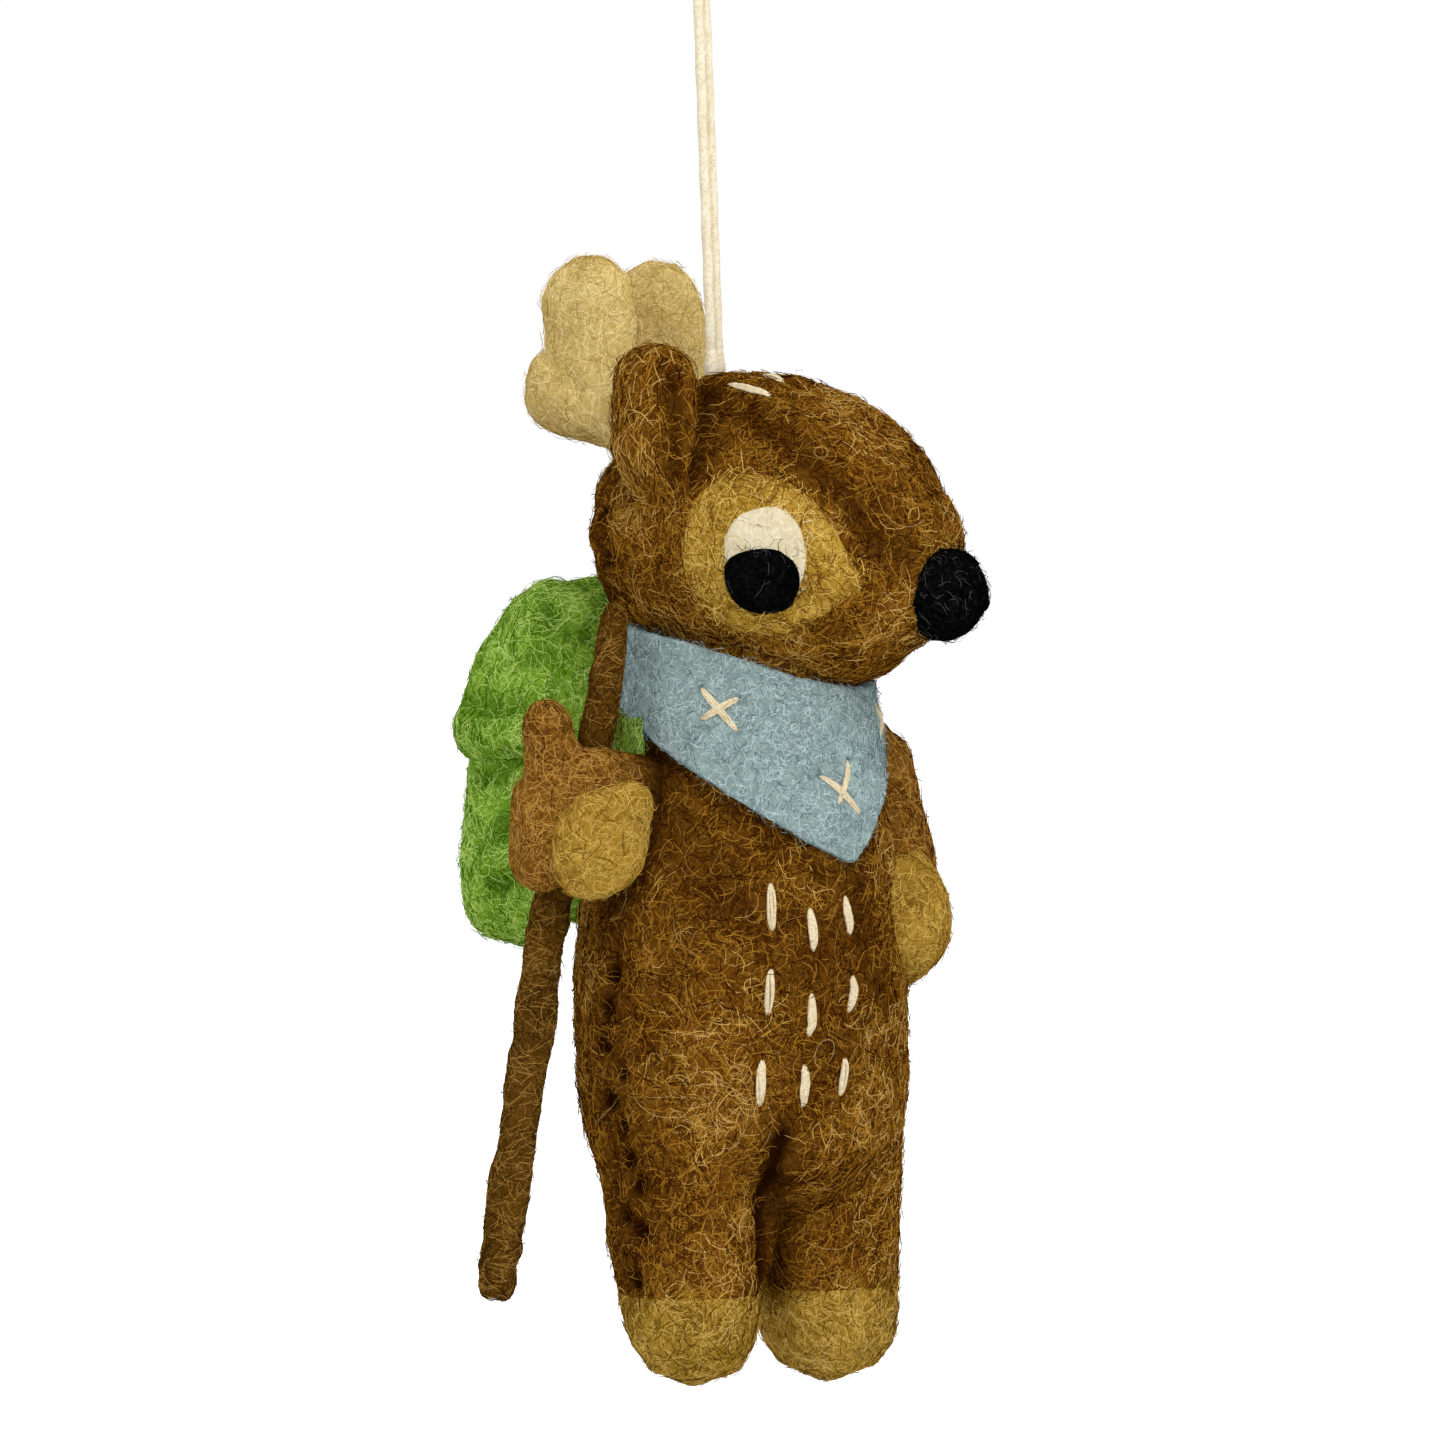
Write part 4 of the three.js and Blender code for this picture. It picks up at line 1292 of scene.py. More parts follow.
def lump_up(wool: WoolMesh, lumps: Lumps, puff: float, seed: int) -> None:
    """Puffs a form out and gives it lumps, each a grain and a depth in millimetres.

    Args:
        wool: the form.
        lumps: a grain and a depth in millimetres for each size of lump.
        puff: how far the form is puffed out, in millimetres.
        seed: the piece's own seed.
    """
    noise = WoolNoise(seed)
    depth = np.full(len(wool.places), puff)
    for grain, height in lumps:
        depth += noise.at(wool.places + grain, grain) * height
    wool.push(depth)


def settle(piece: bpy.types.Object, body: Body, nodes: Sequence[str]) -> None:
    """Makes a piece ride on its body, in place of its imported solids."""
    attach(piece, body.value)
    if nodes:
        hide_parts(*nodes)


def smooth_path(points: Array, per_run: int) -> Array:
    """Runs a smooth curve through points.

    Args:
        points: the points, one a row.
        per_run: how many steps lie between two points.

    Returns:
        The curve's points, the first and last ones of the points among them.
    """
    padded = np.concatenate([[2 * points[0] - points[1]], points, [2 * points[-1] - points[-2]]])
    rows = []
    for index in range(1, len(padded) - 2):
        for step in range(per_run):
            rows.append(curve_point(*padded[index - 1:index + 3], step / per_run))
    rows.append(points[-1])
    return np.array(rows)


def joined(parts: Sequence[Tube]) -> Tube:
    """Joins closed tubes into one set of points, end triangles and wall quads."""
    starts = np.cumsum([0] + [len(places) for places, _, _ in parts])
    ends = [part[1] + start for part, start in zip(parts, starts)]
    walls = [part[2] + start for part, start in zip(parts, starts)]
    return np.concatenate([part[0] for part in parts]), np.concatenate(ends), np.concatenate(walls)


def tube_rows(
    path: Array, radii: Array, sides: int, section: Callable[[Array, float], Array], hint: Array
) -> Tube:
    """Sweeps a section along a path and closes both ends with a point.

    Args:
        path: the path's points in millimetres.
        radii: the radius at each point.
        sides: how many points go round.
        section: gives the radius shares for the angles round at a share of the length.
        hint: a direction across the path at its start.

    Returns:
        The points, the end triangles and the wall quads.
    """
    along = unit(np.gradient(path, axis=0))
    across = unit(hint - along[0] * float(hint @ along[0]))
    angles = np.arange(sides) / sides * TURN
    rows = []
    for index, spot in enumerate(path):
        across = unit(across - along[index] * float(across @ along[index]))
        other = np.cross(along[index], across)
        reach = (section(angles, index / (len(path) - 1)) * radii[index])[:, None]
        rows.append(spot + np.cos(angles)[:, None] * across * reach + np.sin(angles)[:, None] * other * reach)
    places = np.concatenate(rows + [path[:1], path[-1:]])
    first, last = len(path) * sides, len(path) * sides + 1
    walls, ends = [], []
    for index in range(len(path) - 1):
        here, there = index * sides, (index + 1) * sides
        for side in range(sides):
            after = (side + 1) % sides
            walls.append((here + side, here + after, there + after, there + side))
    top = (len(path) - 1) * sides
    for side in range(sides):
        after = (side + 1) % sides
        ends += [(first, after, side), (last, top + side, top + after)]
    return places, np.array(ends), np.array(walls)


# Finishes of the wool, from the sheepskin browns to the greens of the bag: dark, middle and light colours,
# then the colour of painted shade

BROWN_WOOL = WoolFinish("felted_brown", "brown_felt", (76, 42, 6), (104, 66, 16), (142, 100, 38), (38, 16, 2))
PAD_WOOL = WoolFinish("felted_tan", "hoof_wool", (134, 100, 34), (166, 130, 48), (196, 162, 84), (84, 58, 16))
ANTLER_WOOL = WoolFinish(
    "felted_cream", "antler_wool", (190, 164, 98), (212, 184, 114), (232, 208, 146), (140, 116, 62)
)
PATCH_WOOL = WoolFinish(
    "felted_gold", "patch_wool", (144, 108, 36), (174, 136, 50), (202, 166, 86), (104, 70, 20)
)
WHITE_WOOL = WoolFinish(
    "felted_white", "white_wool", (212, 198, 162), (230, 216, 182), (242, 232, 206), (172, 156, 122),
    relief=0.05,
)
BLACK_WOOL = WoolFinish(
    "felted_black", "black_wool", (3, 3, 3), (7, 7, 7), (26, 26, 26), (2, 2, 2), relief=0.09, sheen=0.0
)
GREEN_WOOL = WoolFinish(
    "felted_green", "green_wool", (88, 130, 22), (126, 168, 46), (166, 200, 100), (56, 90, 12), patch=5.0
)
BLUE_FELT = WoolFinish(
    "pressed_blue_felt", "blue_felt", (126, 144, 142), (142, 162, 160), (172, 190, 190), (76, 92, 94),
    curl=1.4, relief=0.06,
)
STUFFING_WOOL = WoolFinish(
    "loose_stuffing", "stuffing", (196, 182, 150), (214, 202, 174), (232, 222, 200), (150, 138, 110)
)
STRAP_WOOL = WoolFinish(
    "felted_strap_green", "green_wool", (72, 96, 28), (100, 126, 44), (140, 160, 84), (46, 66, 16), curl=1.6
)
STICK_WOOL = WoolFinish(
    "wound_stick_brown", "brown_felt", (66, 42, 8), (88, 58, 14), (128, 94, 42), (30, 18, 4), curl=1.4
)
ARM_WOOL = WoolFinish(
    "felted_arm_brown", "brown_felt", (96, 58, 14), (122, 82, 28), (164, 122, 62), (44, 24, 4)
)
COTTON_CORD = ThreadFinish("cotton_cord", "cord", (246, 238, 214), (224, 210, 176))
COTTON_FLOSS = ThreadFinish("cotton_floss", "floss", (240, 226, 194), (208, 188, 148), ply=0.25, gloss=0.55)


def shades_of(kind: str, *rows: tuple[Colour, float]) -> tuple[FibreShade, ...]:
    """Names the dark, middle and light fibres of a coat, each a colour and its share."""
    names = (f"fibre_{kind}_dark", f"fibre_{kind}", f"fibre_{kind}_light")
    return tuple(FibreShade(name, colour, share) for name, (colour, share) in zip(names, rows))


# Coats of loose fibres

BROWN_COAT = FibreCoat((
    FibreShade("fibre_deep_brown", (46, 19, 2), 0.27),
    FibreShade("fibre_brown", (108, 64, 10), 0.30),
    FibreShade("fibre_golden_brown", (164, 117, 38), 0.34),
    FibreShade("fibre_pale_brown", (208, 168, 94), 0.09),
), per_mm2=5.0, standing=0.16, stand_height=0.42, thickness=0.09)
PAD_COAT = FibreCoat(
    shades_of("pad", ((112, 78, 20), 0.24), ((168, 130, 44), 0.36), ((208, 172, 84), 0.4)),
    per_mm2=4.6, thickness=0.09, length=(1.8, 4.0), standing=0.16, stand_height=0.42,
    rim=BROWN_COAT.shades[2],
)
FOOT_COAT = FibreCoat(
    shades_of("foot", ((88, 60, 8), 0.28), ((148, 114, 32), 0.38), ((204, 170, 86), 0.34)),
    per_mm2=4.6, thickness=0.09, standing=0.14, stand_height=0.4,
)
ANTLER_COAT = FibreCoat(
    shades_of("antler", ((156, 126, 60), 0.24), ((206, 176, 96), 0.4), ((246, 224, 160), 0.36)),
    per_mm2=4.4, thickness=0.06, lift=0.06, standing=0.22, stand_height=0.5,
)
PATCH_COAT = FibreCoat((
    FibreShade("fibre_patch_brown", (96, 60, 12), 0.2),
    FibreShade("fibre_patch", (172, 134, 40), 0.42),
    FibreShade("fibre_patch_light", (222, 186, 94), 0.38),
), per_mm2=4.4, length=(1.8, 4.2), rim=BROWN_COAT.shades[1], rim_reach=0.45)
WHITE_COAT = FibreCoat((
    FibreShade("fibre_white", (240, 228, 198), 0.8),
    FibreShade("fibre_white_grey", (176, 166, 144), 0.2),
), per_mm2=1.6, thickness=0.06, lift=0.05, standing=0.02, length=(1.4, 3.0))
BLACK_COAT = FibreCoat((
    FibreShade("fibre_black", (5, 5, 5), 0.88),
    FibreShade("fibre_black_grey", (72, 70, 66), 0.12),
), per_mm2=3.4, thickness=0.07, length=(1.2, 2.8), curl=0.7, standing=0.3, stand_height=0.5)
GREEN_COAT = FibreCoat(
    shades_of("green", ((54, 98, 4), 0.24), ((122, 166, 44), 0.36), ((196, 224, 118), 0.4)),
    patch=2.8, lift=0.16, standing=0.2, stand_height=0.5, per_mm2=5.2, thickness=0.08,
)
STRAP_COAT = FibreCoat(
    shades_of("strap", ((60, 92, 14), 0.3), ((106, 144, 44), 0.4), ((164, 194, 100), 0.3)),
    per_mm2=4.0, thickness=0.075,
)
BLUE_COAT = FibreCoat(
    shades_of("blue", ((68, 90, 94), 0.34), ((130, 154, 158), 0.36), ((206, 226, 228), 0.3)),
    per_mm2=5.5, thickness=0.052, lift=0.05, length=(0.9, 2.4), standing=0.3, stand_height=0.55, curl=0.5,
    patch=2.6,
)
STICK_COAT = FibreCoat(
    shades_of("stick", ((42, 24, 2), 0.3), ((92, 60, 12), 0.42), ((158, 118, 56), 0.28)),
    lay=Lay.WOUND, length=(1.8, 4.0), thickness=0.08, per_mm2=3.6, standing=0.12, stand_height=0.35,
)
ARM_COAT = FibreCoat(
    shades_of("arm", ((66, 34, 2), 0.26), ((128, 84, 24), 0.38), ((186, 140, 66), 0.36)),
    per_mm2=4.6, standing=0.16, stand_height=0.42, rim=BROWN_COAT.shades[1],
)
EAR_COAT = FibreCoat(
    BROWN_COAT.shades, per_mm2=5.0, standing=0.2, stand_height=0.5, thickness=0.09, lay=Lay.ALONG
)
STRAY_COAT = FibreCoat((
    FibreShade("fibre_stray_gold", (176, 136, 66), 0.55),
    FibreShade("fibre_stray_pale", (204, 176, 118), 0.45),
), per_mm2=0.05, length=(5.0, 9.0), thickness=0.045, lift=0.4, standing=0.15, stand_height=1.2, curl=0.5,
    steps=12)


@dataclass
class HangingLoop:
    """The cotton cord that goes out of the head, round an eye at the top and back in."""

    diameter: float = 1.2
    foot: float = -50.9
    straight_top: float = -8.4
    straight_steps: int = 5
    half_gap: float = 0.8
    neck: tuple[Span, ...] = ((1.57, -5.94), (2.34, -4.35))
    eye_height: float = -2.4
    eye_radius: float = 3.0
    eye_steps: int = 6
    across: Place = (0.9063, 0.4226, 0.0)
    pivot_x: float = 2.2905
    lean: float = 0.045
    length: float = 107.2
    steps_per_run: int = 12
    ring_points: int = 14
    plies: int = 3
    turn_length: float = 3.4
    ply_middle: float = 0.93
    ply_wave: float = 0.07

    def point(self, aside: float, height: float) -> list[float]:
        """Gives a place on the loop, by its distance from the middle and its height."""
        middle = self.pivot_x - self.lean * (height - self.foot)
        return [middle + aside * self.across[0], aside * self.across[1], height]

    def straight(self, side: int) -> list[list[float]]:
        """Gives the places up one strand from its foot."""
        rise = (self.straight_top - self.foot) / self.straight_steps
        levels = [self.foot + rise * step for step in range(self.straight_steps + 1)]
        places = [self.point(side * self.half_gap, level) for level in levels]
        return places + [self.point(side * aside, height) for aside, height in self.neck]

    def route(self) -> Array:
        """Gives the cord's route, up one strand, round the eye and down the other.

        Returns:
            The route's points in millimetres.
        """
        eye = []
        for step in range(self.eye_steps + 1):
            angle = math.pi * (1 - step / self.eye_steps)
            height = self.eye_height + self.eye_radius * math.sin(angle)
            eye.append(self.point(self.eye_radius * math.cos(angle), height))
        return np.array(self.straight(-1) + eye + self.straight(1)[::-1])

    def section(self, angles: Array, share: float) -> Array:
        """Gives the twisted plies' outline round the cord."""
        twist = share * self.length / self.turn_length * TURN
        return self.ply_middle + self.ply_wave * np.cos(self.plies * angles - twist)

    def build(self) -> None:
        path = smooth_path(self.route(), self.steps_per_run)
        radii = np.full(len(path), self.diameter / 2)
        hint = np.array([0.0, 1.0, 0.0])
        places, ends, walls = tube_rows(path, radii, self.ring_points, self.section, hint)
        data = mesh_from_rows("loop_cord", places, [ends, walls])
        cord = mesh_object("loop_cord", data, [COTTON_CORD.material()])
        settle(cord, Body.LOOP, ["hanging_loop"])


@dataclass
class FlossStitch:
    """One stitch: a bundle of fine strands that dips into the felt at both ends."""

    name: str
    start: Array
    end: Array
    half_width: float = 0.56
    half_height: float = 0.36
    strands: int = 9
    strand_radius: float = 0.16
    points: int = 14
    sink: float = 0.35
    sides: int = 6
    tip_share: float = 0.02
    fullness: float = 0.4
    twist: float = 0.9
    twist_spread: Span = (-0.3, 0.3)
    seat: float = 0.9
    tip_thin: Span = (0.55, 0.45)
    thick_spread: Span = (0.85, 1.15)

    def rows(self, wool: WoolMesh, seed: int) -> Tube:
        """Builds the stitch's strands over the wool.

        Args:
            wool: the felt that it is sewn through.
            seed: the stitch's own seed.

        Returns:
            The points, the end triangles and the wall quads of all strands.
        """
        rng = np.random.default_rng(seed)
        share = np.linspace(0, 1, self.points)
        line = self.start + (self.end - self.start) * share[:, None]
        hits = [wool.near().find_nearest(spot) for spot in line.tolist()]
        surface = np.array([hit[0] for hit in hits])
        outward = unit(np.mean([hit[1] for hit in hits], axis=0))
        along = unit(self.end - self.start)
        across = np.cross(along, outward)
        swell = np.sin(np.clip(share, self.tip_share, 1 - self.tip_share) * math.pi) ** self.fullness
        least, more = self.tip_thin
        tubes = []
        for number in range(self.strands):
            angle = TURN * number / self.strands + rng.uniform(*self.twist_spread)
            twist = angle + share * self.twist
            aside = np.cos(twist) * (self.half_width - self.strand_radius) * swell
            rise = np.sin(twist) * (self.half_height - self.strand_radius) * swell
            height = self.half_height * self.seat * swell + rise - self.sink * (1 - swell)
            path = surface + across * aside[:, None] + outward * height[:, None]
            radii = self.strand_radius * (least + more * swell) * rng.uniform(*self.thick_spread)
            tubes.append(tube_rows(path, radii, self.sides, lambda angles, _: np.ones(len(angles)), outward))
        return joined(tubes)


def stitch_piece(name: str, node: str, strokes: Sequence[FlossStitch], wool: WoolMesh) -> None:
    """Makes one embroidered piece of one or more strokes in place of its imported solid."""
    tubes = [stroke.rows(wool, seed_of(name) + number) for number, stroke in enumerate(strokes)]
    places, ends, walls = joined(tubes)
    piece = mesh_object(name, mesh_from_rows(name, places, [ends, walls]), [COTTON_FLOSS.material()])
    settle(piece, Body.FAWN, [node])


def node_points(node: bpy.types.Object) -> Array:
    """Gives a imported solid's points in millimetres."""
    return read_rows(node.data.vertices, "co", 3, np.float32).astype(float) / MM


def long_ends(places: Array) -> tuple[Array, Array]:
    """Gives the two ends of a long solid, the upper one first."""
    middle = places.mean(axis=0)
    way = np.linalg.svd(places - middle, full_matrices=False)[2][0]
    reach = (places - middle) @ way
    return upper_first(middle + way * reach.min(), middle + way * reach.max())


def cross_strokes(places: Array, apart: float = 0.7) -> list[tuple[Array, Array]]:
    """Finds the two strokes of a cross-shaped solid.

    Args:
        places: the solid's points in millimetres.
        apart: the least angle between two tips in radians.

    Returns:
        The two ends of each stroke, the upper end first.
    """
    middle = (places.min(axis=0) + places.max(axis=0)) / 2
    flat = np.linalg.svd(places - middle, full_matrices=False)[2][:2]
    local = (places - middle) @ flat.T
    angles = np.arctan2(local[:, 1], local[:, 0])
    reach = np.linalg.norm(local, axis=1)
    tips: list[int] = []
    for index in np.argsort(-reach):
        away = [abs((angles[index] - angles[other] + math.pi) % TURN - math.pi) for other in tips]
        if all(gap > apart for gap in away):
            tips.append(int(index))
        if len(tips) == 4:
            break
    tips.sort(key=lambda index: angles[index])
    return [
        upper_first(places[tips[0]], places[tips[2]]),
        upper_first(places[tips[1]], places[tips[3]]),
    ]


@dataclass(frozen=True)
class NeedledSpot:
    """A soft, rounded spot of wool needled onto a form, with its outline in the photograph's pixels."""

    outline: Pixels
    height: float
    fullness: float
    sink: float = 0.35
    around: int = 72
    rings: int = 22
    ring_bend: float = 0.8
    far_reach: float = 4.0

    def middle(self) -> Array:
        """Gives the middle of the outline in pixels."""
        rim = np.array(self.outline)
        return (rim.min(axis=0) + rim.max(axis=0)) / 2

    def rim(self) -> Array:
        """Gives a smooth closed outline in pixels.

        Returns:
            The outline's points, one a row.
        """
        points = np.array(self.outline, float)
        count = len(points)
        rows = []
        for step in np.arange(self.around) / self.around * count:
            index = int(step)
            nearby = [points[(index + move) % count] for move in (-1, 0, 1, 2)]
            rows.append(curve_point(*nearby, step - index))
        return np.array(rows)

    def shaped(self, name: str, under: Sequence[WoolMesh], mirror: Optional[Change]) -> WoolMesh:
        """Builds the spot on the wool.

        Args:
            name: the mesh's name.
            under: the forms below it, the lowest first.
            mirror: turns points into those on the other side, or nothing for the side that is seen.

        Returns:
            The spot as a closed form.
        """
        tree = under[0].near_with(under[1:])
        middle, rim = self.middle(), self.rim()
        shares = np.linspace(0, 1, self.rings + 1)[1:] ** self.ring_bend
        ground, outward, lift = [], [], []
        for share in [0.0, *shares]:
            for spot in (rim if share else rim[:1]):
                pixel = middle + (spot - middle) * share
                hit = tree.ray_cast(VIEW.eye(), VIEW.ray((float(pixel[0]), float(pixel[1]))))
                ground.append(np.array(hit[0]))
                outward.append(np.array(hit[1]))
                lift.append(self.height * (1 - share ** self.fullness) ** 0.5)
        ground, outward = np.array(ground), np.array(outward)
        if mirror is not None:
            bases = [under[0].near().find_nearest(spot) for spot in mirror(ground).tolist()]
            hits = [tree.ray_cast(base[0] + base[1] * self.far_reach, -base[1]) for base in bases]
            ground = np.array([hit[0] for hit in hits])
            outward = np.array([hit[1] for hit in hits])
        outward = unit(outward + unit(outward.mean(axis=0)))
        top = ground + outward * np.array(lift)[:, None]
        low = ground - outward * self.sink
        faces, tips = self.faces(len(ground))
        if mirror is not None:
            faces, tips = faces[:, ::-1], tips[:, ::-1]
        return WoolMesh(mesh_from_rows(name, np.concatenate([top, low]), [faces, tips]))

    def faces(self, lower: int) -> tuple[Array, Array]:
        """Lists the quads and the middle triangles of both sides and the rim between them.

        Args:
            lower: the number of the lower side's first point.

        Returns:
            The quads and the triangles.
        """
        quads, tips = [], []
        for side in range(self.around):
            after = (side + 1) % self.around
            tips += [(0, 1 + side, 1 + after), (lower, lower + 1 + after, lower + 1 + side)]
            for ring in range(self.rings - 1):
                here, there = 1 + ring * self.around, 1 + (ring + 1) * self.around
                quads.append((here + side, there + side, there + after, here + after))
                below, under = lower + here, lower + there
                quads.append((below + after, under + after, under + side, below + side))
            edge = 1 + (self.rings - 1) * self.around
            quads.append((edge + side, lower + edge + side, lower + edge + after, edge + after))
        return np.array(quads), np.array(tips)


@dataclass
class TorsoAndLegs:
    """The stuffed trunk and legs of brown felt, sewn up the sides, with the chest stitches."""

    voxel: float = 0.5
    hip_low: float = 8.0
    hip_high: float = 46.0
    hip_rounds: int = 150
    hoof_top: float = 10.5
    rounds: int = 10
    hip_cut: float = 26.5
    seam_width: float = 0.8
    seam_depth: float = 0.35
    # Needle holes: dented, with painted shade in them
    hole_width: float = 1.15
    hole_depth: float = 1.4
    hole_painted_shade: float = 1.9
    hole_pixels: Pixels = (
        (606, 1008), (619, 1071), (619, 1128), (637, 1185), (639, 1232), (633, 1281), (600, 1045),
        (608, 1100), (626, 1160), (622, 1215), (612, 975),
    )
    # The crease between the legs: pressed in, with painted shade along it and a wider painted shade round it
    # (crease_rim: half width, depth, painted shade)
    crease_width: float = 1.1
    crease_depth: float = 1.5
    crease_painted_shade: float = 1.3
    crease_rim: Press = (2.5, 0.2, 0.35)
    crease_heights: Span = (7.0, 22.0)
    crease_pixels: Pixels = (
        (784, 1138), (775, 1160), (769, 1190), (766, 1225), (765, 1260), (766, 1292),
    )
    # Painted shadows: on the far leg beside the crease, round the near hand, beside the far arm, under the
    # neckerchief's lower edge, and a broad one over the upper trunk below it
    shades: Shades = (
        (2.4, 0.62, ((786, 1126), (780, 1170), (777, 1225), (777, 1290))),
        (1.7, 0.6, ((644, 742), (653, 765), (655, 790), (654, 815), (653, 850), (640, 882), (615, 903))),
        (1.9, 0.6, ((872, 770), (862, 830), (858, 880), (858, 930), (866, 968), (885, 1000))),
        (1.5, 0.5, ((656, 750), (690, 776), (730, 804), (770, 834), (810, 866), (842, 884))),
        (7.0, 0.34, ((660, 820), (700, 862), (745, 905), (790, 940), (835, 970))),
    )
    # The side seam: painted shade in its groove and a broader band of painted shade beside it
    seam_shade: float = 3.6
    seam_painted_shade: float = 0.3
    seam_heights: Span = (10.0, 78.0)
    far_holes: Span = (13.0, 44.0)
    far_hole_count: int = 8
    far_hole_aside: float = 1.2
    aside_start: float = 30.0
    behind_start: float = 20.0
    axis_depth: float = -2.2
    edge_grain: float = 2.2
    edge_wave: float = 0.6
    puff: float = 0.1
    lumps: Lumps = ((9.0, 0.45), (3.4, 0.22), (1.4, 0.1))
    swells: Swells = (
        (600, 1170, 9.0, 1.2), (915, 1040, 9.0, -0.8), (920, 985, 7.0, -0.7), (578, 1040, 8.0, 0.5),
        (776, 1190, 3.5, -0.9), (772, 1240, 3.5, -0.8), (770, 1290, 3.5, -0.5),
        (802, 1150, 4.5, 1.0), (796, 1180, 5.0, 2.4), (796, 1225, 5.0, 2.2), (800, 1270, 4.0, 1.0),
        (606, 1350, 6.0, -0.9), (757, 1350, 3.5, -0.5), (776, 1350, 3.5, -0.3), (640, 1385, 5.0, -0.5),
        (578, 905, 4.0, 0.8),
    )
    stitch_rows: int = 3
    stitch_columns: int = 3
    # Chest stitches press grooves and tip holes into the felt, each with painted shade (half width, depth,
    # painted shade)
    groove: Press = (0.75, 0.3, 0.3)
    groove_tip: Press = (0.55, 0.35, 0.6)
    wool: WoolMesh = field(init=False)

    def shape(self, nodes: Nodes) -> None:
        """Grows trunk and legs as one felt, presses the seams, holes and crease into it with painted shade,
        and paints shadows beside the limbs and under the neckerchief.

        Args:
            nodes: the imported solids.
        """
        names = ["body_front_felt", "body_back_felt", "body_stuffing", "leg_left_felt", "leg_right_felt"]
        names += ["leg_left_stuffing", "leg_right_stuffing", "foot_hoof_left", "foot_hoof_right"]
        wool = WoolMesh.grown("trunk_wool", [nodes[name] for name in names], self.voxel)
        height = wool.places[:, 2] - FIGURE.sole_z
        middle = (self.hip_low + self.hip_high) / 2
        half = (self.hip_high - self.hip_low) / 2
        weight = np.clip(1 - ((height - middle) / half) ** 2, 0, 1)
        wool.relax(self.hip_rounds, weight)
        wool.smooth(self.rounds)
        lump_up(wool, self.lumps, self.puff, seed_of("trunk_wool"))
        wool.swell(self.swells)
        for side in (-1, 1):
            self.press_side(wool, side)
        levels = np.linspace(*self.crease_heights, 9)
        back = self.line_on(wool, [(0.0, self.behind_start, level) for level in levels])
        wider, depth, painted_shade = self.crease_rim
        for path in (wool.line_beside(self.crease_pixels), back):
            wool.press(path, self.crease_width, self.crease_depth, self.crease_painted_shade)
            wool.press(path, self.crease_width * wider, depth, painted_shade)
        wool.shade(self.shades)
        self.wool = wool

    def line_on(self, wool: WoolMesh, figure_places: Sequence[Place]) -> Array:
        """Brings points in from outside onto the wool, level towards the figure's axis.

        Args:
            wool: the form.
            figure_places: the points outside it, by the figure's own measures.

        Returns:
            The places on the wool, without the points that miss it.
        """
        rows = []
        for spot in figure_places:
            start = Vector(FIGURE.at(*spot))
            aim = Vector(FIGURE.at(0.0, self.axis_depth, spot[2])) - start
            hit = wool.near().ray_cast(start, aim.normalized())
            if hit[0] is not None:
                rows.append(np.array(hit[0]))
        return np.array(rows)

    def press_side(self, wool: WoolMesh, side: int) -> None:
        """Presses the side seam and its needle holes on one side, with painted shade in and beside them.

        Args:
            wool: the trunk's form.
            side: -1 for the side that is seen and 1 for the far one.
        """
        levels = np.linspace(*self.seam_heights, 25)
        seam = self.line_on(wool, [(side * self.aside_start, 0.0, level) for level in levels])
        wool.press(seam, self.seam_width, self.seam_depth, self.seam_painted_shade)
        wool.press(seam, self.seam_shade, 0.0, self.seam_painted_shade)
        if side < 0:
            holes = [wool.seen_at(pixel) for pixel in self.hole_pixels]
        else:
            holes = []
            for number, level in enumerate(np.linspace(*self.far_holes, self.far_hole_count)):
                aside = -self.far_hole_aside * (-1) ** number
                holes.append(self.line_on(wool, [(self.aside_start, aside, level)])[0])
        for hole in holes:
            if hole is not None:
                wool.press(hole[None], self.hole_width, self.hole_depth, self.hole_painted_shade)

    def edge_height(self, places: Array) -> Array:
        """Gives the height of the hooves' uneven upper edge round the legs."""
        noise = WoolNoise(seed_of("hoof_edge"))
        return FIGURE.sole_z + self.hoof_top + noise.at(places, self.edge_grain) * self.edge_wave

    def above_hooves(self, places: Array) -> Array:
        """Tells which places have the brown coat."""
        return places[:, 2] > self.edge_height(places)

    def on_hooves(self, places: Array) -> Array:
        """Tells which places have the hooves' coat."""
        return places[:, 2] <= self.edge_height(places)

    def stitches(self, nodes: Nodes) -> dict[str, FlossStitch]:
        """Reads each chest stitch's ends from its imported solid.

        Args:
            nodes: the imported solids.

        Returns:
            The stitch of each solid's name.
        """
        found = {}
        for row in range(1, self.stitch_rows + 1):
            for column in range(1, self.stitch_columns + 1):
                node = f"chest_stitch_{row}_{column}"
                start, end = long_ends(node_points(nodes[node]))
                found[node] = FlossStitch(node, start, end)
        return found

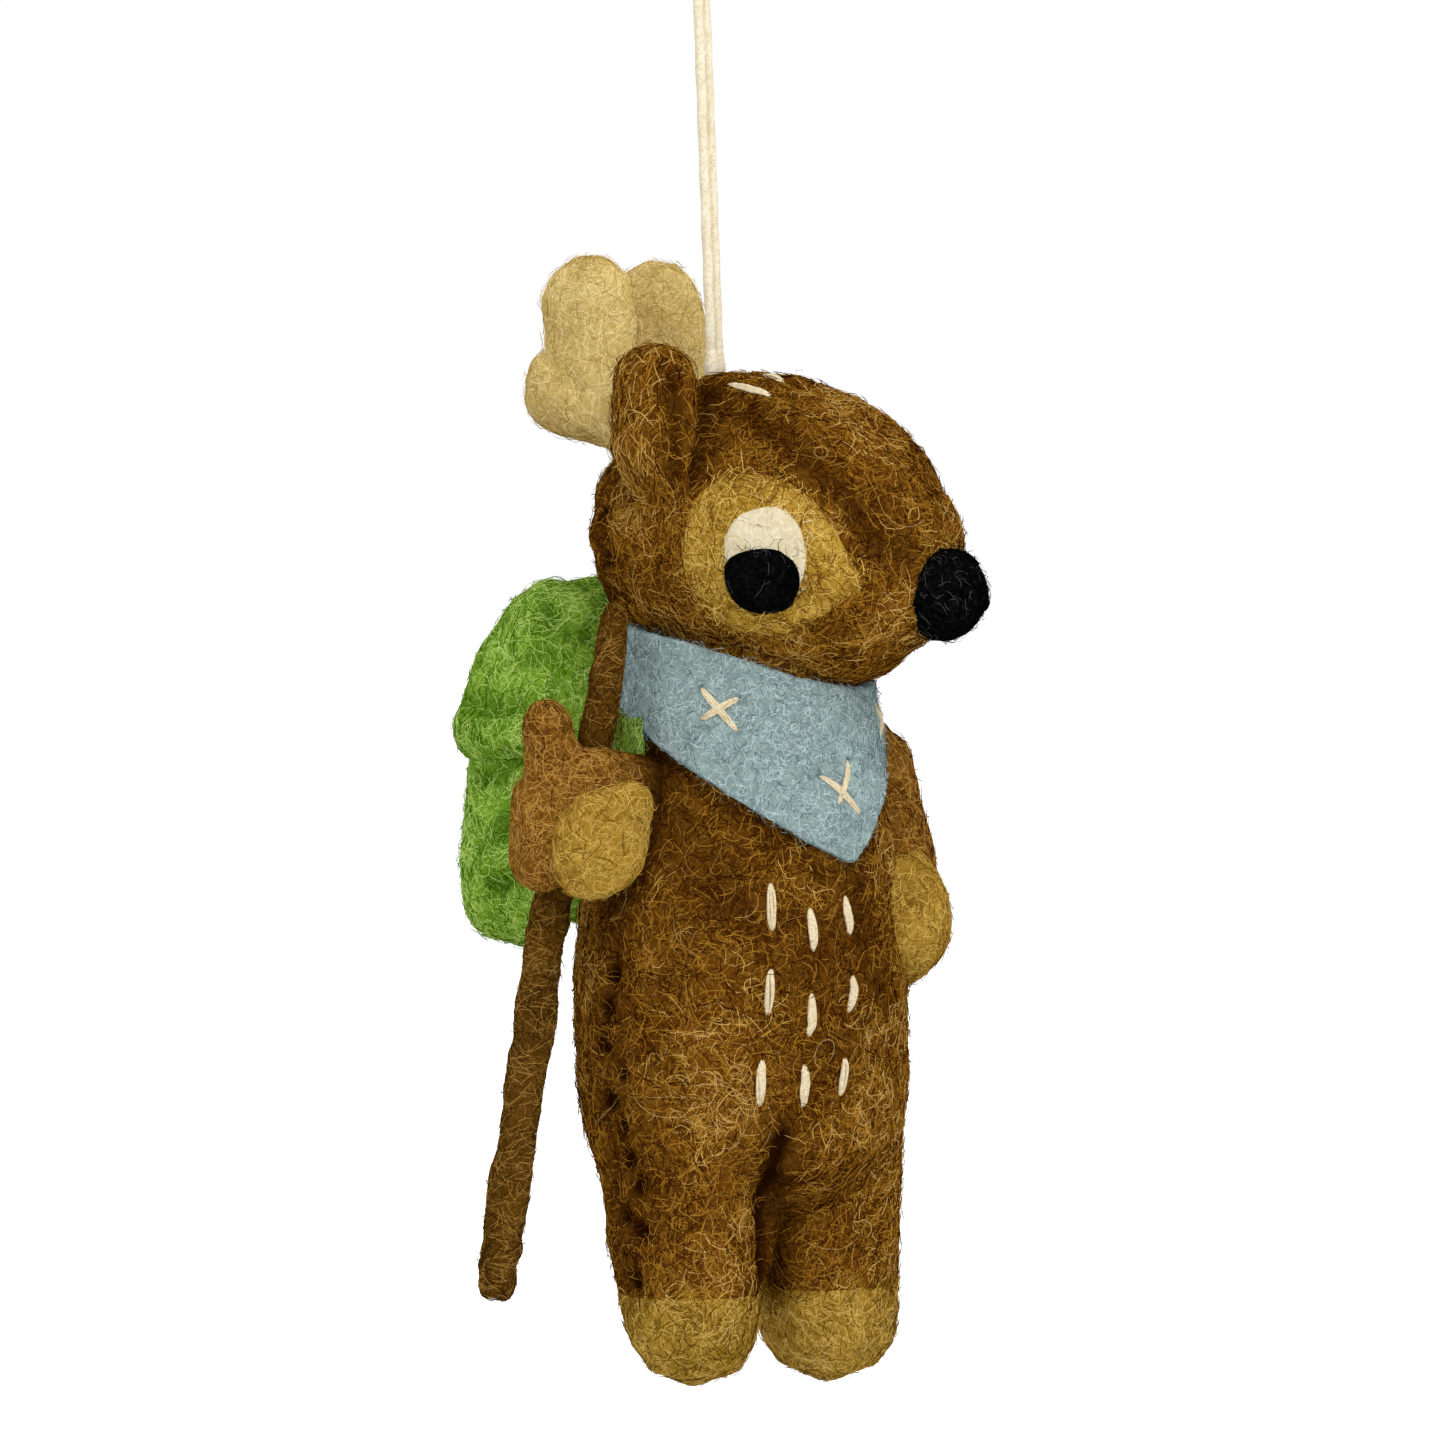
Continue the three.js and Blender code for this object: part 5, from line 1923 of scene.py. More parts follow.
    def build(self, nodes: Nodes) -> None:
        """Shapes the trunk, presses the stitches in, and makes every piece.

        Args:
            nodes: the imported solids.
        """
        self.shape(nodes)
        stitches = self.stitches(nodes)
        for stitch in stitches.values():
            self.wool.press(np.linspace(stitch.start, stitch.end, 5), *self.groove)
            for tip in (stitch.start, stitch.end):
                self.wool.press(tip[None], *self.groove_tip)
        hip = (0.0, 0.0, FIGURE.sole_z + self.hip_cut)
        seam = (0.0, FIGURE.axis_y, 0.0)
        middle = (FIGURE.axis_x, 0.0, 0.0)
        ankle = (0.0, 0.0, FIGURE.sole_z + self.hoof_top)
        left, right, up, down = (-1, 0, 0), (1, 0, 0), (0, 0, 1), (0, 0, -1)
        cuts = {
            "trunk_front_wool": ("body_front_felt", BROWN_WOOL, [(seam, (0, 1, 0)), (hip, down)]),
            "trunk_back_wool": ("body_back_felt", BROWN_WOOL, [(seam, (0, -1, 0)), (hip, down)]),
            "leg_left_wool": ("leg_left_felt", BROWN_WOOL, [(middle, left), (hip, up), (ankle, down)]),
            "leg_right_wool": ("leg_right_felt", BROWN_WOOL, [(middle, right), (hip, up), (ankle, down)]),
            "foot_left_wool": ("foot_hoof_left", PAD_WOOL, [(middle, left), (ankle, up)]),
            "foot_right_wool": ("foot_hoof_right", PAD_WOOL, [(middle, right), (ankle, up)]),
        }
        for name, (node, finish, planes) in cuts.items():
            cut_settled(self.wool, name, node, finish, planes)
        grow_settled(BROWN_COAT, "trunk_fibres", self.wool, (), self.above_hooves)
        grow_settled(STRAY_COAT, "trunk_stray_fibres", self.wool)
        grow_settled(FOOT_COAT, "foot_fibres", self.wool, (), self.on_hooves)
        for node, stitch in stitches.items():
            stitch_piece(node + "_floss", node, [stitch], self.wool)
        for part, voxel, puff in (("leg_left", 1.0, -1.5), ("leg_right", 1.0, -1.5), ("body", 1.2, -1.6)):
            name = part.replace("body", "trunk") + "_filling"
            FeltedPart(name, f"{part}_stuffing", STUFFING_WOOL, None, voxel=voxel, puff=puff).build(nodes)


@dataclass
class FawnHead:
    """The stuffed head with its nose, eyes, ears, antlers and the stitches on its crown."""

    voxel: float = 0.45
    rounds: int = 10
    lumps: Lumps = ((8.0, 0.4), (3.0, 0.2), (1.3, 0.09))
    furrow: Pixels = (
        (700, 398), (738, 410), (774, 430), (808, 458), (838, 492), (866, 526), (888, 550), (904, 562),
    )
    # The furrow below the brow: pressed in with painted shade, and a wider painted shade round it
    # (furrow_rim)
    furrow_width: float = 1.5
    furrow_depth: float = 0.8
    furrow_painted_shade: float = 0.55
    furrow_rim: Press = (3.0, 0.0, 0.34)
    # Painted shadow on the head beside the ear, on both sides of the head
    ear_shadow: Pixels = ((706, 388), (704, 420), (702, 455), (690, 480))
    ear_dusk: Press = (2.4, 0.0, 0.62)
    swells: Swells = (
        (872, 676, 8.0, 1.4), (925, 480, 7.0, 1.0), (948, 530, 6.0, 0.6), (815, 384, 8.0, -1.1),
        (648, 640, 6.0, -0.7), (660, 400, 6.0, -0.6), (716, 384, 4.5, 0.9), (915, 655, 5.0, -0.6),
        (594, 486, 2.4, 0.6), (594, 537, 2.6, 0.7), (600, 578, 2.0, 0.3),
    )
    # Notches down the back seam, pressed in with painted shade, and a band of painted shade along the seam
    notches: Pixels = ((604, 462), (603, 512), (607, 560), (612, 596))
    notch: Press = (1.1, 0.7, 1.4)
    back_shades: Shades = ((1.5, 0.5, ((604, 462), (603, 500), (604, 545), (610, 596))),)
    # The back seam's bumps, with painted shade in the dips between them
    back_bumps: float = 0.65
    bump_spacing: float = 4.6
    bump_painted_shade: float = 0.5
    back_radius: float = 17.0
    back_reach: float = 2.2
    back_start: float = 6.0
    yaw: float = 25.0
    head_middle: Place = (4.49, -4.71, -68.9)
    puff: float = -0.4
    foot_rise: float = 1.4
    hole_reach: Span = (1.8, 3.2)
    hole_drop: float = 9.0
    hole_rounds: int = 160
    foot_flare_drop: float = 0.3
    foot_flare_reach: Span = (0.9, 2.0)
    stem_thick: Span = (1.04, 0.45)
    stem_steps: int = 24
    knot_steps: int = 72
    knot_sides: int = 10
    knot_thick: float = 0.26
    nose_seat: float = 1.2
    nose_lumps: Lumps = ((2.6, 0.34), (1.2, 0.16))
    # Crown stitches press a groove with painted shade (half width, depth, painted shade)
    groove: Press = (0.75, 0.3, 0.2)
    crown_pixels: tuple[Pixels, ...] = (
        ((728, 382), (771, 394)), ((761, 374), (784, 381)),
    )
    antler_root: Span = (-61.0, -58.5)
    antler_sink: float = 0.3
    antler_lumps: Lumps = ((5.0, 0.35), (2.2, 0.16), (1.1, 0.06))
    antler_swells: Swells = (
        (588, 262, 5.0, 0.4), (596, 462, 3.5, -1.8), (574, 450, 4.0, -0.4), (550, 432, 4.0, -0.2),
        (536, 362, 3.0, 0.9),
    )
    # Painted shade along the lower edge of the antler that is seen
    antler_shades: Shades = ((4.0, 0.34, ((530, 408), (542, 425), (566, 442), (592, 452))),)
    ear_root: Span = (-67.0, -60.5)
    ear_sink: float = 0.2
    # The fold of the ear that is seen is pressed in with painted shade
    ear_fold: Pixels = ((672, 372), (676, 410), (678, 445), (674, 480))
    ear_groove: Press = (1.5, 0.5, 0.7)
    patch_spot: NeedledSpot = NeedledSpot((
        (745, 474), (700, 492), (684, 530), (686, 572), (704, 608), (736, 630), (776, 634), (812, 622),
        (844, 602), (862, 584), (850, 556), (826, 516), (790, 484),
    ), 0.9, 2.4)
    white_spot: NeedledSpot = NeedledSpot((
        (766, 507), (738, 516), (725, 540), (728, 572), (745, 596), (772, 606), (796, 592), (806, 562),
        (801, 530), (786, 512),
    ), 0.7, 3.2)
    pupil_spot: NeedledSpot = NeedledSpot((
        (760, 549), (738, 553), (725, 566), (726, 586), (738, 605), (761, 614), (784, 610), (798, 592),
        (797, 566), (782, 552),
    ), 0.9, 3.0)
    wool: WoolMesh = field(init=False)

    def forward(self) -> Array:
        """Gives the direction that the head faces."""
        turn = math.radians(self.yaw)
        return np.array([math.sin(turn), -math.cos(turn), 0.0])

    def aside(self) -> Array:
        """Gives the level direction across the head."""
        forward = self.forward()
        return np.array([-forward[1], forward[0], 0.0])

    def close_crown(self, wool: WoolMesh, loop: HangingLoop) -> None:
        """Closes the wool of the crown round the cord's two feet.

        Args:
            wool: the head's form.
            loop: the cord that goes into the crown.
        """
        near = np.full(len(wool.places), np.inf)
        for side in (-1, 1):
            foot = np.array(loop.point(side * loop.half_gap, loop.foot))
            near = np.minimum(near, np.linalg.norm(wool.places[:, :2] - foot[:2], axis=1))
        low = wool.places[:, 2] < loop.foot - self.hole_drop
        wool.relax(self.hole_rounds, np.where(low, 0.0, 1 - ease(near, *self.hole_reach)))

    def shape(self, nodes: Nodes, loop: HangingLoop) -> None:
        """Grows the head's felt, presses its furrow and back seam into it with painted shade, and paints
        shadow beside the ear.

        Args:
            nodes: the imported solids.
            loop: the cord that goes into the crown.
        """
        names = ["head_left_felt", "head_right_felt", "head_stuffing"]
        wool = WoolMesh.grown("head_wool", [nodes[name] for name in names], self.voxel)
        wool.smooth(self.rounds)
        self.close_crown(wool, loop)
        lump_up(wool, self.lumps, self.puff, seed_of("head_wool"))
        self.bump_back(wool)
        wool.swell(self.swells)
        line = wool.line_seen(self.furrow)
        for path in (line, self.mirrored(wool, line)):
            wool.press(path, self.furrow_width, self.furrow_depth, self.furrow_painted_shade)
            wool.press(path, *self.furrow_rim)
        for pixel in self.notches:
            wool.press(wool.beside(pixel)[None], *self.notch)
        wool.shade(self.back_shades)
        shadow = wool.line_beside(self.ear_shadow)
        for path in (shadow, self.mirrored(wool, shadow)):
            wool.press(path, *self.ear_dusk)
        self.wool = wool

    def other_side(self, places: Array) -> Array:
        """Gives the same places on the head's other side."""
        aside = self.aside()
        return places - 2 * ((places - np.array(self.head_middle)) @ aside)[:, None] * aside

    def mirrored(self, wool: WoolMesh, line: Array) -> Array:
        """Gives the same line on the head's other side, on the wool."""
        return np.array([wool.near().find_nearest(spot)[0] for spot in self.other_side(line).tolist()])

    def bump_back(self, wool: WoolMesh) -> None:
        """Gathers the seam down the back of the head into small bumps, with painted shade in the dips between
        them.

        Args:
            wool: the head's form.
        """
        forward = self.forward()
        offset = wool.places - np.array(self.head_middle)
        near_middle = bell(offset @ self.aside(), self.back_reach)
        behind = np.clip((-(offset @ forward) - self.back_start) / self.back_start, 0, 1)
        angle = np.arctan2(offset[:, 2], -(offset @ forward))
        wave = np.cos(angle * self.back_radius / self.bump_spacing * TURN)
        wool.push(self.back_bumps * wave * near_middle * behind)
        wool.paint_shade(near_middle * behind * np.clip(-wave, 0, 1) * self.bump_painted_shade)

    def build(self, nodes: Nodes, loop: HangingLoop) -> None:
        """Shapes the head and makes every piece on it.

        Args:
            nodes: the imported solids.
            loop: the cord that goes into the crown.
        """
        self.shape(nodes, loop)
        crown = {}
        for number, pixels in enumerate(self.crown_pixels, start=1):
            node = f"crown_stitch_{number}"
            start, end = self.wool.line_beside(pixels)
            crown[node] = FlossStitch(node, start, end)
            self.wool.press(np.linspace(start, end, 5), *self.groove)
        for side, way in (("left", -self.aside()), ("right", self.aside())):
            planes = [(self.head_middle, tuple(way))]
            half = cut_settled(self.wool, f"head_{side}_wool", f"head_{side}_felt", BROWN_WOOL, planes)
        for node, stitch in crown.items():
            stitch_piece(node + "_floss", node, [stitch], self.wool)
        FeltedPart("head_filling", "head_stuffing", STUFFING_WOOL, None, voxel=1.2, puff=-0.2).build(nodes)
        nose = FeltedPart("nose_wool", "nose", BLACK_WOOL, BLACK_COAT, 0.3, 4, 30, 0.5, self.nose_lumps)
        tip = nose.shaped(nodes)
        tip.places = tip.places - self.forward() * self.nose_seat
        nose.place(tip, [self.wool])
        spots = []
        for side in ("left", "right"):
            spots += self.build_eye(side)
            self.build_ear(side, nodes)
            self.build_antler(side, nodes)
        for coat, label in ((BROWN_COAT, "head_fibres"), (STRAY_COAT, "head_stray_fibres")):
            grow_settled(coat, label, self.wool, spots)
        self.build_knot(nodes, loop)

    def build_eye(self, side: str) -> list[WoolMesh]:
        """Needles the patch, white and pupil of one eye on, one over the other.

        Args:
            side: left or right, as the fawn has it.

        Returns:
            The forms of the three spots.
        """
        mirror = None if side == "right" else self.other_side
        under = [self.wool]
        layers = (
            ("eye_patch", self.patch_spot, PATCH_WOOL, PATCH_COAT, ((3.0, 0.16), (1.2, 0.06))),
            ("eye_white", self.white_spot, WHITE_WOOL, WHITE_COAT, ((2.0, 0.05),)),
            ("pupil", self.pupil_spot, BLACK_WOOL, BLACK_COAT, ((1.6, 0.12), (0.8, 0.06))),
        )
        for label, spot, finish, coat, lumps in layers:
            wool = spot.shaped(f"{label}_{side}_wool", under, mirror)
            lump_up(wool, lumps, 0.0, seed_of(label + side))
            FeltedPart(f"{label}_{side}_wool", f"{label}_{side}", finish, coat).place(wool, under[::-1])
            under.append(wool)
        return under[1:]

    def build_ear(self, side: str, nodes: Nodes) -> None:
        """Makes one ear. The one that the photograph shows is folded and runs into the head.

        Args:
            side: left or right, as the fawn has it.
            nodes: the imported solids.
        """
        ear = FeltedPart(f"ear_{side}_wool", f"ear_{side}", BROWN_WOOL, EAR_COAT, 0.4, 6)
        wool = ear.shaped(nodes)
        if side == "right":
            wool.sink_into(self.wool, 1 - ease(wool.places[:, 2], *self.ear_root), self.ear_sink)
            wool.press(wool.line_beside(self.ear_fold), *self.ear_groove)
        ear.place(wool, [self.wool])

    def build_antler(self, side: str, nodes: Nodes) -> None:
        """Makes one antler, with its root sunk into the head.

        Args:
            side: left or right, as the fawn has it.
            nodes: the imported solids.
        """
        name, node = f"antler_{side}_wool", f"antler_{side}"
        antler = FeltedPart(name, node, ANTLER_WOOL, ANTLER_COAT, 0.4, 6, 4, 0.15, self.antler_lumps)
        wool = antler.shaped(nodes)
        if side == "right":
            wool.swell(self.antler_swells)
            wool.shade(self.antler_shades)
        wool.sink_into(self.wool, 1 - ease(wool.places[:, 2], *self.antler_root), self.antler_sink)
        antler.place(wool, [self.wool])

    def build_knot(self, nodes: Nodes, loop: HangingLoop) -> None:
        """Ties the knot that holds the loop inside the head, with the cord's two flared feet above it.

        Args:
            nodes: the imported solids.
            loop: the cord that the knot holds.
        """
        places = node_points(nodes["loop_anchor_knot"])
        reach = float(np.ptp(places[:, 0])) / 2
        middle = (places.min(axis=0) + places.max(axis=0)) / 2
        middle[2] = places[:, 2].min() + reach
        turns = np.linspace(0, TURN, self.knot_steps + 1)[:-1]
        shape = np.stack([
            np.sin(turns) + 2 * np.sin(2 * turns),
            np.cos(turns) - 2 * np.cos(2 * turns),
            -np.sin(3 * turns),
        ], axis=1)
        thick = reach * self.knot_thick
        path = middle + shape / 3 * (reach - thick)
        hint = np.array([0.3, 0.2, 1.0])
        parts = [tube_rows(path, np.full(len(path), thick), self.knot_sides, loop.section, hint)]
        least, more = self.stem_thick
        for side in (-1, 1):
            top = np.array(loop.point(side * loop.half_gap, loop.foot + self.foot_rise))
            low = np.array([top[0], top[1], middle[2]])
            stem = low + (top - low) * np.linspace(0, 1, self.stem_steps)[:, None]
            above = stem[:, 2] - (loop.foot - self.foot_flare_drop)
            bulge = bell(above, np.where(above > 0, *self.foot_flare_reach))
            radii = loop.diameter / 2 * (least + more * bulge)
            parts.append(tube_rows(stem, radii, loop.ring_points, loop.section, np.array([0.0, 1.0, 0.0])))
        places, ends, walls = joined(parts)
        data = mesh_from_rows("loop_knot", places, [ends, walls])
        knot = mesh_object("loop_knot", data, [COTTON_CORD.material()])
        settle(knot, Body.FAWN, ["loop_anchor_knot"])


@dataclass
class Neckerchief:
    """The felt triangle round the neck, with three crosses sewn on it.

    Angles go round the neck in degrees, 0 in front and 90 at the fawn's left.
    """

    thickness: float = 1.25
    stand_off: float = 0.12
    flat: Span = (90.0, 23.0)
    columns: int = 260
    rows: int = 44
    lap: float = 170.0
    top_edge: tuple[Span, ...] = (
        (-170, 83.6), (-135, 83.8), (-105, 83.9), (-68, 82.5), (-37, 80.3), (-9, 78.3), (19, 77.2),
        (40, 77.2), (70, 78.2), (105, 80.6), (135, 82.8), (170, 83.6),
    )
    low_edge: tuple[Span, ...] = (
        (-170, 79.0), (-130, 77.0), (-105, 74.6), (-84, 71.9), (-53, 67.6), (-30, 63.6), (-9, 60.2),
        (8, 57.9), (19, 60.4), (35, 64.6), (55, 69.6), (84, 73.0), (105, 75.2), (130, 77.2), (170, 79.0),
    )
    edge_soft: int = 4
    neck_level: float = 79.0
    neck_radius: float = 13.0
    ray_start: float = 40.0
    flare: float = 0.1
    evened: int = 6
    lumps: Lumps = ((6.0, 0.16), (1.6, 0.04))
    over_strap: Swell = (642, 690, 3.5, 0.25)
    near_crosses: tuple[tuple[Pixels, ...], ...] = (
        (((700, 687), (738, 732)), ((739, 698), (700, 720))),
        (((820, 775), (861, 814)), ((849, 760), (839, 805))),
    )
    # The crosses' needle holes are pressed into the cloth with painted shade (half width, depth, painted
    # shade)
    stroke_start: Press = (0.45, 0.25, 0.95)
    stroke_end: Press = (0.35, 0.2, 0.5)

    def surface(self, trunk: WoolMesh, angle: float, height: float) -> tuple[Array, Array]:
        """Finds the trunk below the cloth.

        Args:
            trunk: the trunk's form.
            angle: round the neck in degrees.
            height: above the soles in millimetres.

        Returns:
            The place on the trunk and the direction away from the neck.
        """
        turn = math.radians(angle)
        way = np.array([math.sin(turn), -math.cos(turn), 0.0])
        level = min(height, self.neck_level)
        axis = np.array(FIGURE.at(0.0, 0.0, level))
        hit = trunk.near().ray_cast(Vector(axis + way * self.ray_start), Vector(-way))
        spot = np.array(hit[0]) if hit[0] is not None else axis + way * self.neck_radius
        return spot + np.array([0.0, 0.0, height - level]) + way * self.flare * (height - level), way

    def shaped(self, trunk: WoolMesh) -> tuple[WoolMesh, float]:
        """Builds the cloth over the trunk.

        Args:
            trunk: the trunk's form.

        Returns:
            The cloth and the area of its middle surface in square millimetres.
        """
        angles = np.linspace(-self.lap, self.lap, self.columns)
        kernel = np.hanning(self.edge_soft * 2 + 1)
        kernel = kernel / kernel.sum()
        edges = []
        for edge in (self.top_edge, self.low_edge):
            knots = np.array(edge, float)
            heights = np.interp(angles, knots[:, 0], knots[:, 1])
            soft = self.edge_soft
            padded = np.concatenate([heights[:1].repeat(soft), heights, heights[-1:].repeat(soft)])
            edges.append(np.convolve(padded, kernel, "valid"))
        inner = np.zeros((self.columns, self.rows, 3))
        ways = np.zeros((self.columns, 3))
        for column, angle in enumerate(angles):
            for row, share in enumerate(np.linspace(0, 1, self.rows)):
                height = edges[0][column] + (edges[1][column] - edges[0][column]) * share
                inner[column, row], ways[column] = self.surface(trunk, float(angle), float(height))
        for _ in range(self.evened):
            inner[1:-1, 1:-1] = (inner[:-2, 1:-1] + inner[2:, 1:-1] + inner[1:-1, :-2] + inner[1:-1, 2:]) / 4
        low = inner + ways[:, None] * self.stand_off
        high = low + ways[:, None] * self.thickness
        middle = (low + high) / 2
        across = middle[1:, :-1] - middle[:-1, :-1]
        down = middle[:-1, 1:] - middle[:-1, :-1]
        area = float(np.linalg.norm(np.cross(across, down), axis=2).sum())
        places = np.concatenate([high.reshape(-1, 3), low.reshape(-1, 3)])
        cloth = WoolMesh(mesh_from_rows("neckerchief_felt", places, [self.faces()]))
        cloth.smooth(2)
        return cloth, area

    def faces(self) -> Array:
        """Lists the quads of both sides of the cloth and of its four edges.

        Returns:
            The quads, one a row.
        """
        rows, columns = self.rows, self.columns
        back = rows * columns
        quads = []
        for column in range(columns - 1):
            for row in range(rows - 1):
                a, b = column * rows + row, (column + 1) * rows + row
                quads.append((a, a + 1, b + 1, b))
                quads.append((back + b, back + b + 1, back + a + 1, back + a))
            top, last = column * rows, column * rows + rows - 1
            quads.append((top, top + rows, back + top + rows, back + top))
            quads.append((last + rows, last, back + last, back + last + rows))
        for row in range(rows - 1):
            a, b = row, (columns - 1) * rows + row
            quads.append((a + 1, a, back + a, back + a + 1))
            quads.append((b, b + 1, back + b + 1, back + b))
        return np.array(quads)

    def strokes(self, cloth: WoolMesh, nodes: Nodes) -> dict[str, list[FlossStitch]]:
        """Places the strokes of the crosses on the cloth.

        Args:
            cloth: the shaped cloth.
            nodes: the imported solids.

        Returns:
            The strokes of each cross's solid.
        """
        ends = {}
        for number, cross in enumerate(self.near_crosses, start=1):
            ends[f"bandana_cross_{number}"] = [cloth.line_seen(pixels) for pixels in cross]
        far = f"bandana_cross_{len(self.near_crosses) + 1}"
        ends[far] = cross_strokes(node_points(nodes[far]))
        return {node: [self.stroke(node, start, end) for start, end in cross] for node, cross in ends.items()}

    def stroke(self, node: str, start: Array, end: Array) -> FlossStitch:
        """Gives one flat stroke of a cross."""
        return FlossStitch(node, start, end, half_width=0.44, half_height=0.22, strands=6, strand_radius=0.15)

    def build(self, nodes: Nodes, trunk: WoolMesh) -> None:
        """Makes the cloth, its fibres and the crosses.

        Args:
            nodes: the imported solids.
            trunk: the trunk's form.
        """
        cloth, area = self.shaped(trunk)
        lump_up(cloth, self.lumps, 0.0, seed_of("neckerchief"))
        cloth.lift_round(self.over_strap)
        sewn = self.strokes(cloth, nodes)
        for strokes in sewn.values():
            for stroke in strokes:
                cloth.press(stroke.start[None], *self.stroke_start)
                cloth.press(stroke.end[None], *self.stroke_end)
        made = FeltedPart("neckerchief_felt", "bandana", BLUE_FELT, BLUE_COAT).place(cloth, [trunk])
        LOG.info("neckerchief_felt: %.0f mm2 of felt", area)
        for node, strokes in sewn.items():
            stitch_piece(node + "_floss", node, strokes, cloth)


@dataclass
class BackBag:
    """The green wool bag with its puffed flap and its two straps."""

    voxel: float = 0.5
    lumps: Lumps = ((7.0, 0.9), (3.2, 0.45), (1.5, 0.15))
    folds: tuple[Pixels, ...] = (
        ((455, 778), (480, 776), (505, 770)),
        ((462, 892), (490, 888), (515, 880)),
        ((470, 700), (498, 712), (520, 706)),
        ((478, 840), (500, 828), (512, 810)),
    )
    # Folds of the bag, pressed in with painted shade
    fold_width: float = 1.3
    fold_depth: float = 0.9
    fold_painted_shade: float = 0.55
    bag_swells: Swells = ((576, 948, 6.0, -2.0), (462, 905, 5.0, 0.9), (482, 940, 4.0, -0.5))
    flap_swells: Swells = (
        (548, 588, 4.0, 1.1), (508, 606, 4.0, -0.6), (598, 578, 4.5, -1.7), (572, 584, 2.4, 0.4),
        (474, 660, 5.0, 0.6),
    )
    tuck: float = 3.0
    tuck_across: Span = (-19.5, -16.0)
    tuck_heights: Span = (-118.0, -106.0)
    # Small hollows in the loose wool, with painted shade in them
    pit_grain: float = 2.6
    pit_depth: float = 0.45
    pit_span: Span = (0.1, 0.6)
    pit_painted_shade: float = 0.5
    strap_lumps: Lumps = ((3.0, 0.15), (1.2, 0.06))
    strap_reach: Span = (3.0, 8.3)
    strap_back: float = 6.5
    strap_drop: float = -1.6
    drop_above: float = -95.0
    strap_under: tuple[tuple[str, float, float], ...] = (("left", -86.6, -84.6), ("right", -90.4, -88.4))
    far_strap: Swell = (880, 716, 4.5, 0.9)
    front_fill: float = 2.5
    front_depths: Span = (13.0, 23.0)

    def pit(self, wool: WoolMesh, name: str) -> None:
        """Gives the loose wool small hollows with painted shade in them."""
        noise = WoolNoise(seed_of(name + "_pits"))
        hollow = ease(-noise.at(wool.places, self.pit_grain), *self.pit_span)
        wool.push(-self.pit_depth * hollow)
        wool.paint_shade(hollow * self.pit_painted_shade)

    def tuck_in(self, wool: WoolMesh) -> None:
        """Lifts the bag's lower corner behind the trunk."""
        across = wool.places @ np.array(VIEW.axes()[0])
        low = 1 - ease(wool.places[:, 2], *self.tuck_heights)
        wool.shift((0.0, 0.0, 1.0), self.tuck * low * ease(across, *self.tuck_across))

    def build_straps(self, nodes: Nodes, trunk: WoolMesh) -> None:
        """Makes the straps, flat below the neckerchief and with their ends in the bag.

        Args:
            nodes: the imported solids.
            trunk: the trunk's form.
        """
        for side, low, high in self.strap_under:
            name, node = f"strap_{side}_wool", f"strap_{side}"
            strap = FeltedPart(name, node, STRAP_WOOL, STRAP_COAT, 0.3, 3, 0, 0.05, self.strap_lumps)
            wool = strap.shaped(nodes)
            if side == "left":
                wool.lift_round(self.far_strap)
            reach = ease(wool.places[:, 1], *self.strap_reach)
            wool.sink_into(trunk, ease(wool.places[:, 2], low, high) * (1 - reach), 0.0)
            wool.shift((0.0, 1.0, 0.0), self.strap_back * reach)
            wool.shift((0.0, 0.0, 1.0), self.strap_drop * reach * (wool.places[:, 2] > self.drop_above))
            strap.place(wool, [trunk])

    def build(self, nodes: Nodes, trunk: WoolMesh) -> None:
        """Makes the bag, flap and straps.

        Args:
            nodes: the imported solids.
            trunk: the trunk's form.
        """
        for name, node, swells in (
            ("bag_wool", "backpack_bag", self.bag_swells),
            ("flap_wool", "backpack_flap", self.flap_swells),
        ):
            part = FeltedPart(name, node, GREEN_WOOL, GREEN_COAT, self.voxel, 8, 4, 0.25, self.lumps)
            wool = part.shaped(nodes)
            if name == "bag_wool":
                self.tuck_in(wool)
            wool.swell(swells)
            wool.shift((0.0, -1.0, 0.0), self.front_fill * (1 - ease(wool.places[:, 1], *self.front_depths)))
            self.pit(wool, name)
            for fold in self.folds:
                line = wool.line_seen(fold)
                if len(line) > 1:
                    wool.press(line, self.fold_width, self.fold_depth, self.fold_painted_shade)
            made = part.place(wool)
        self.build_straps(nodes, trunk)


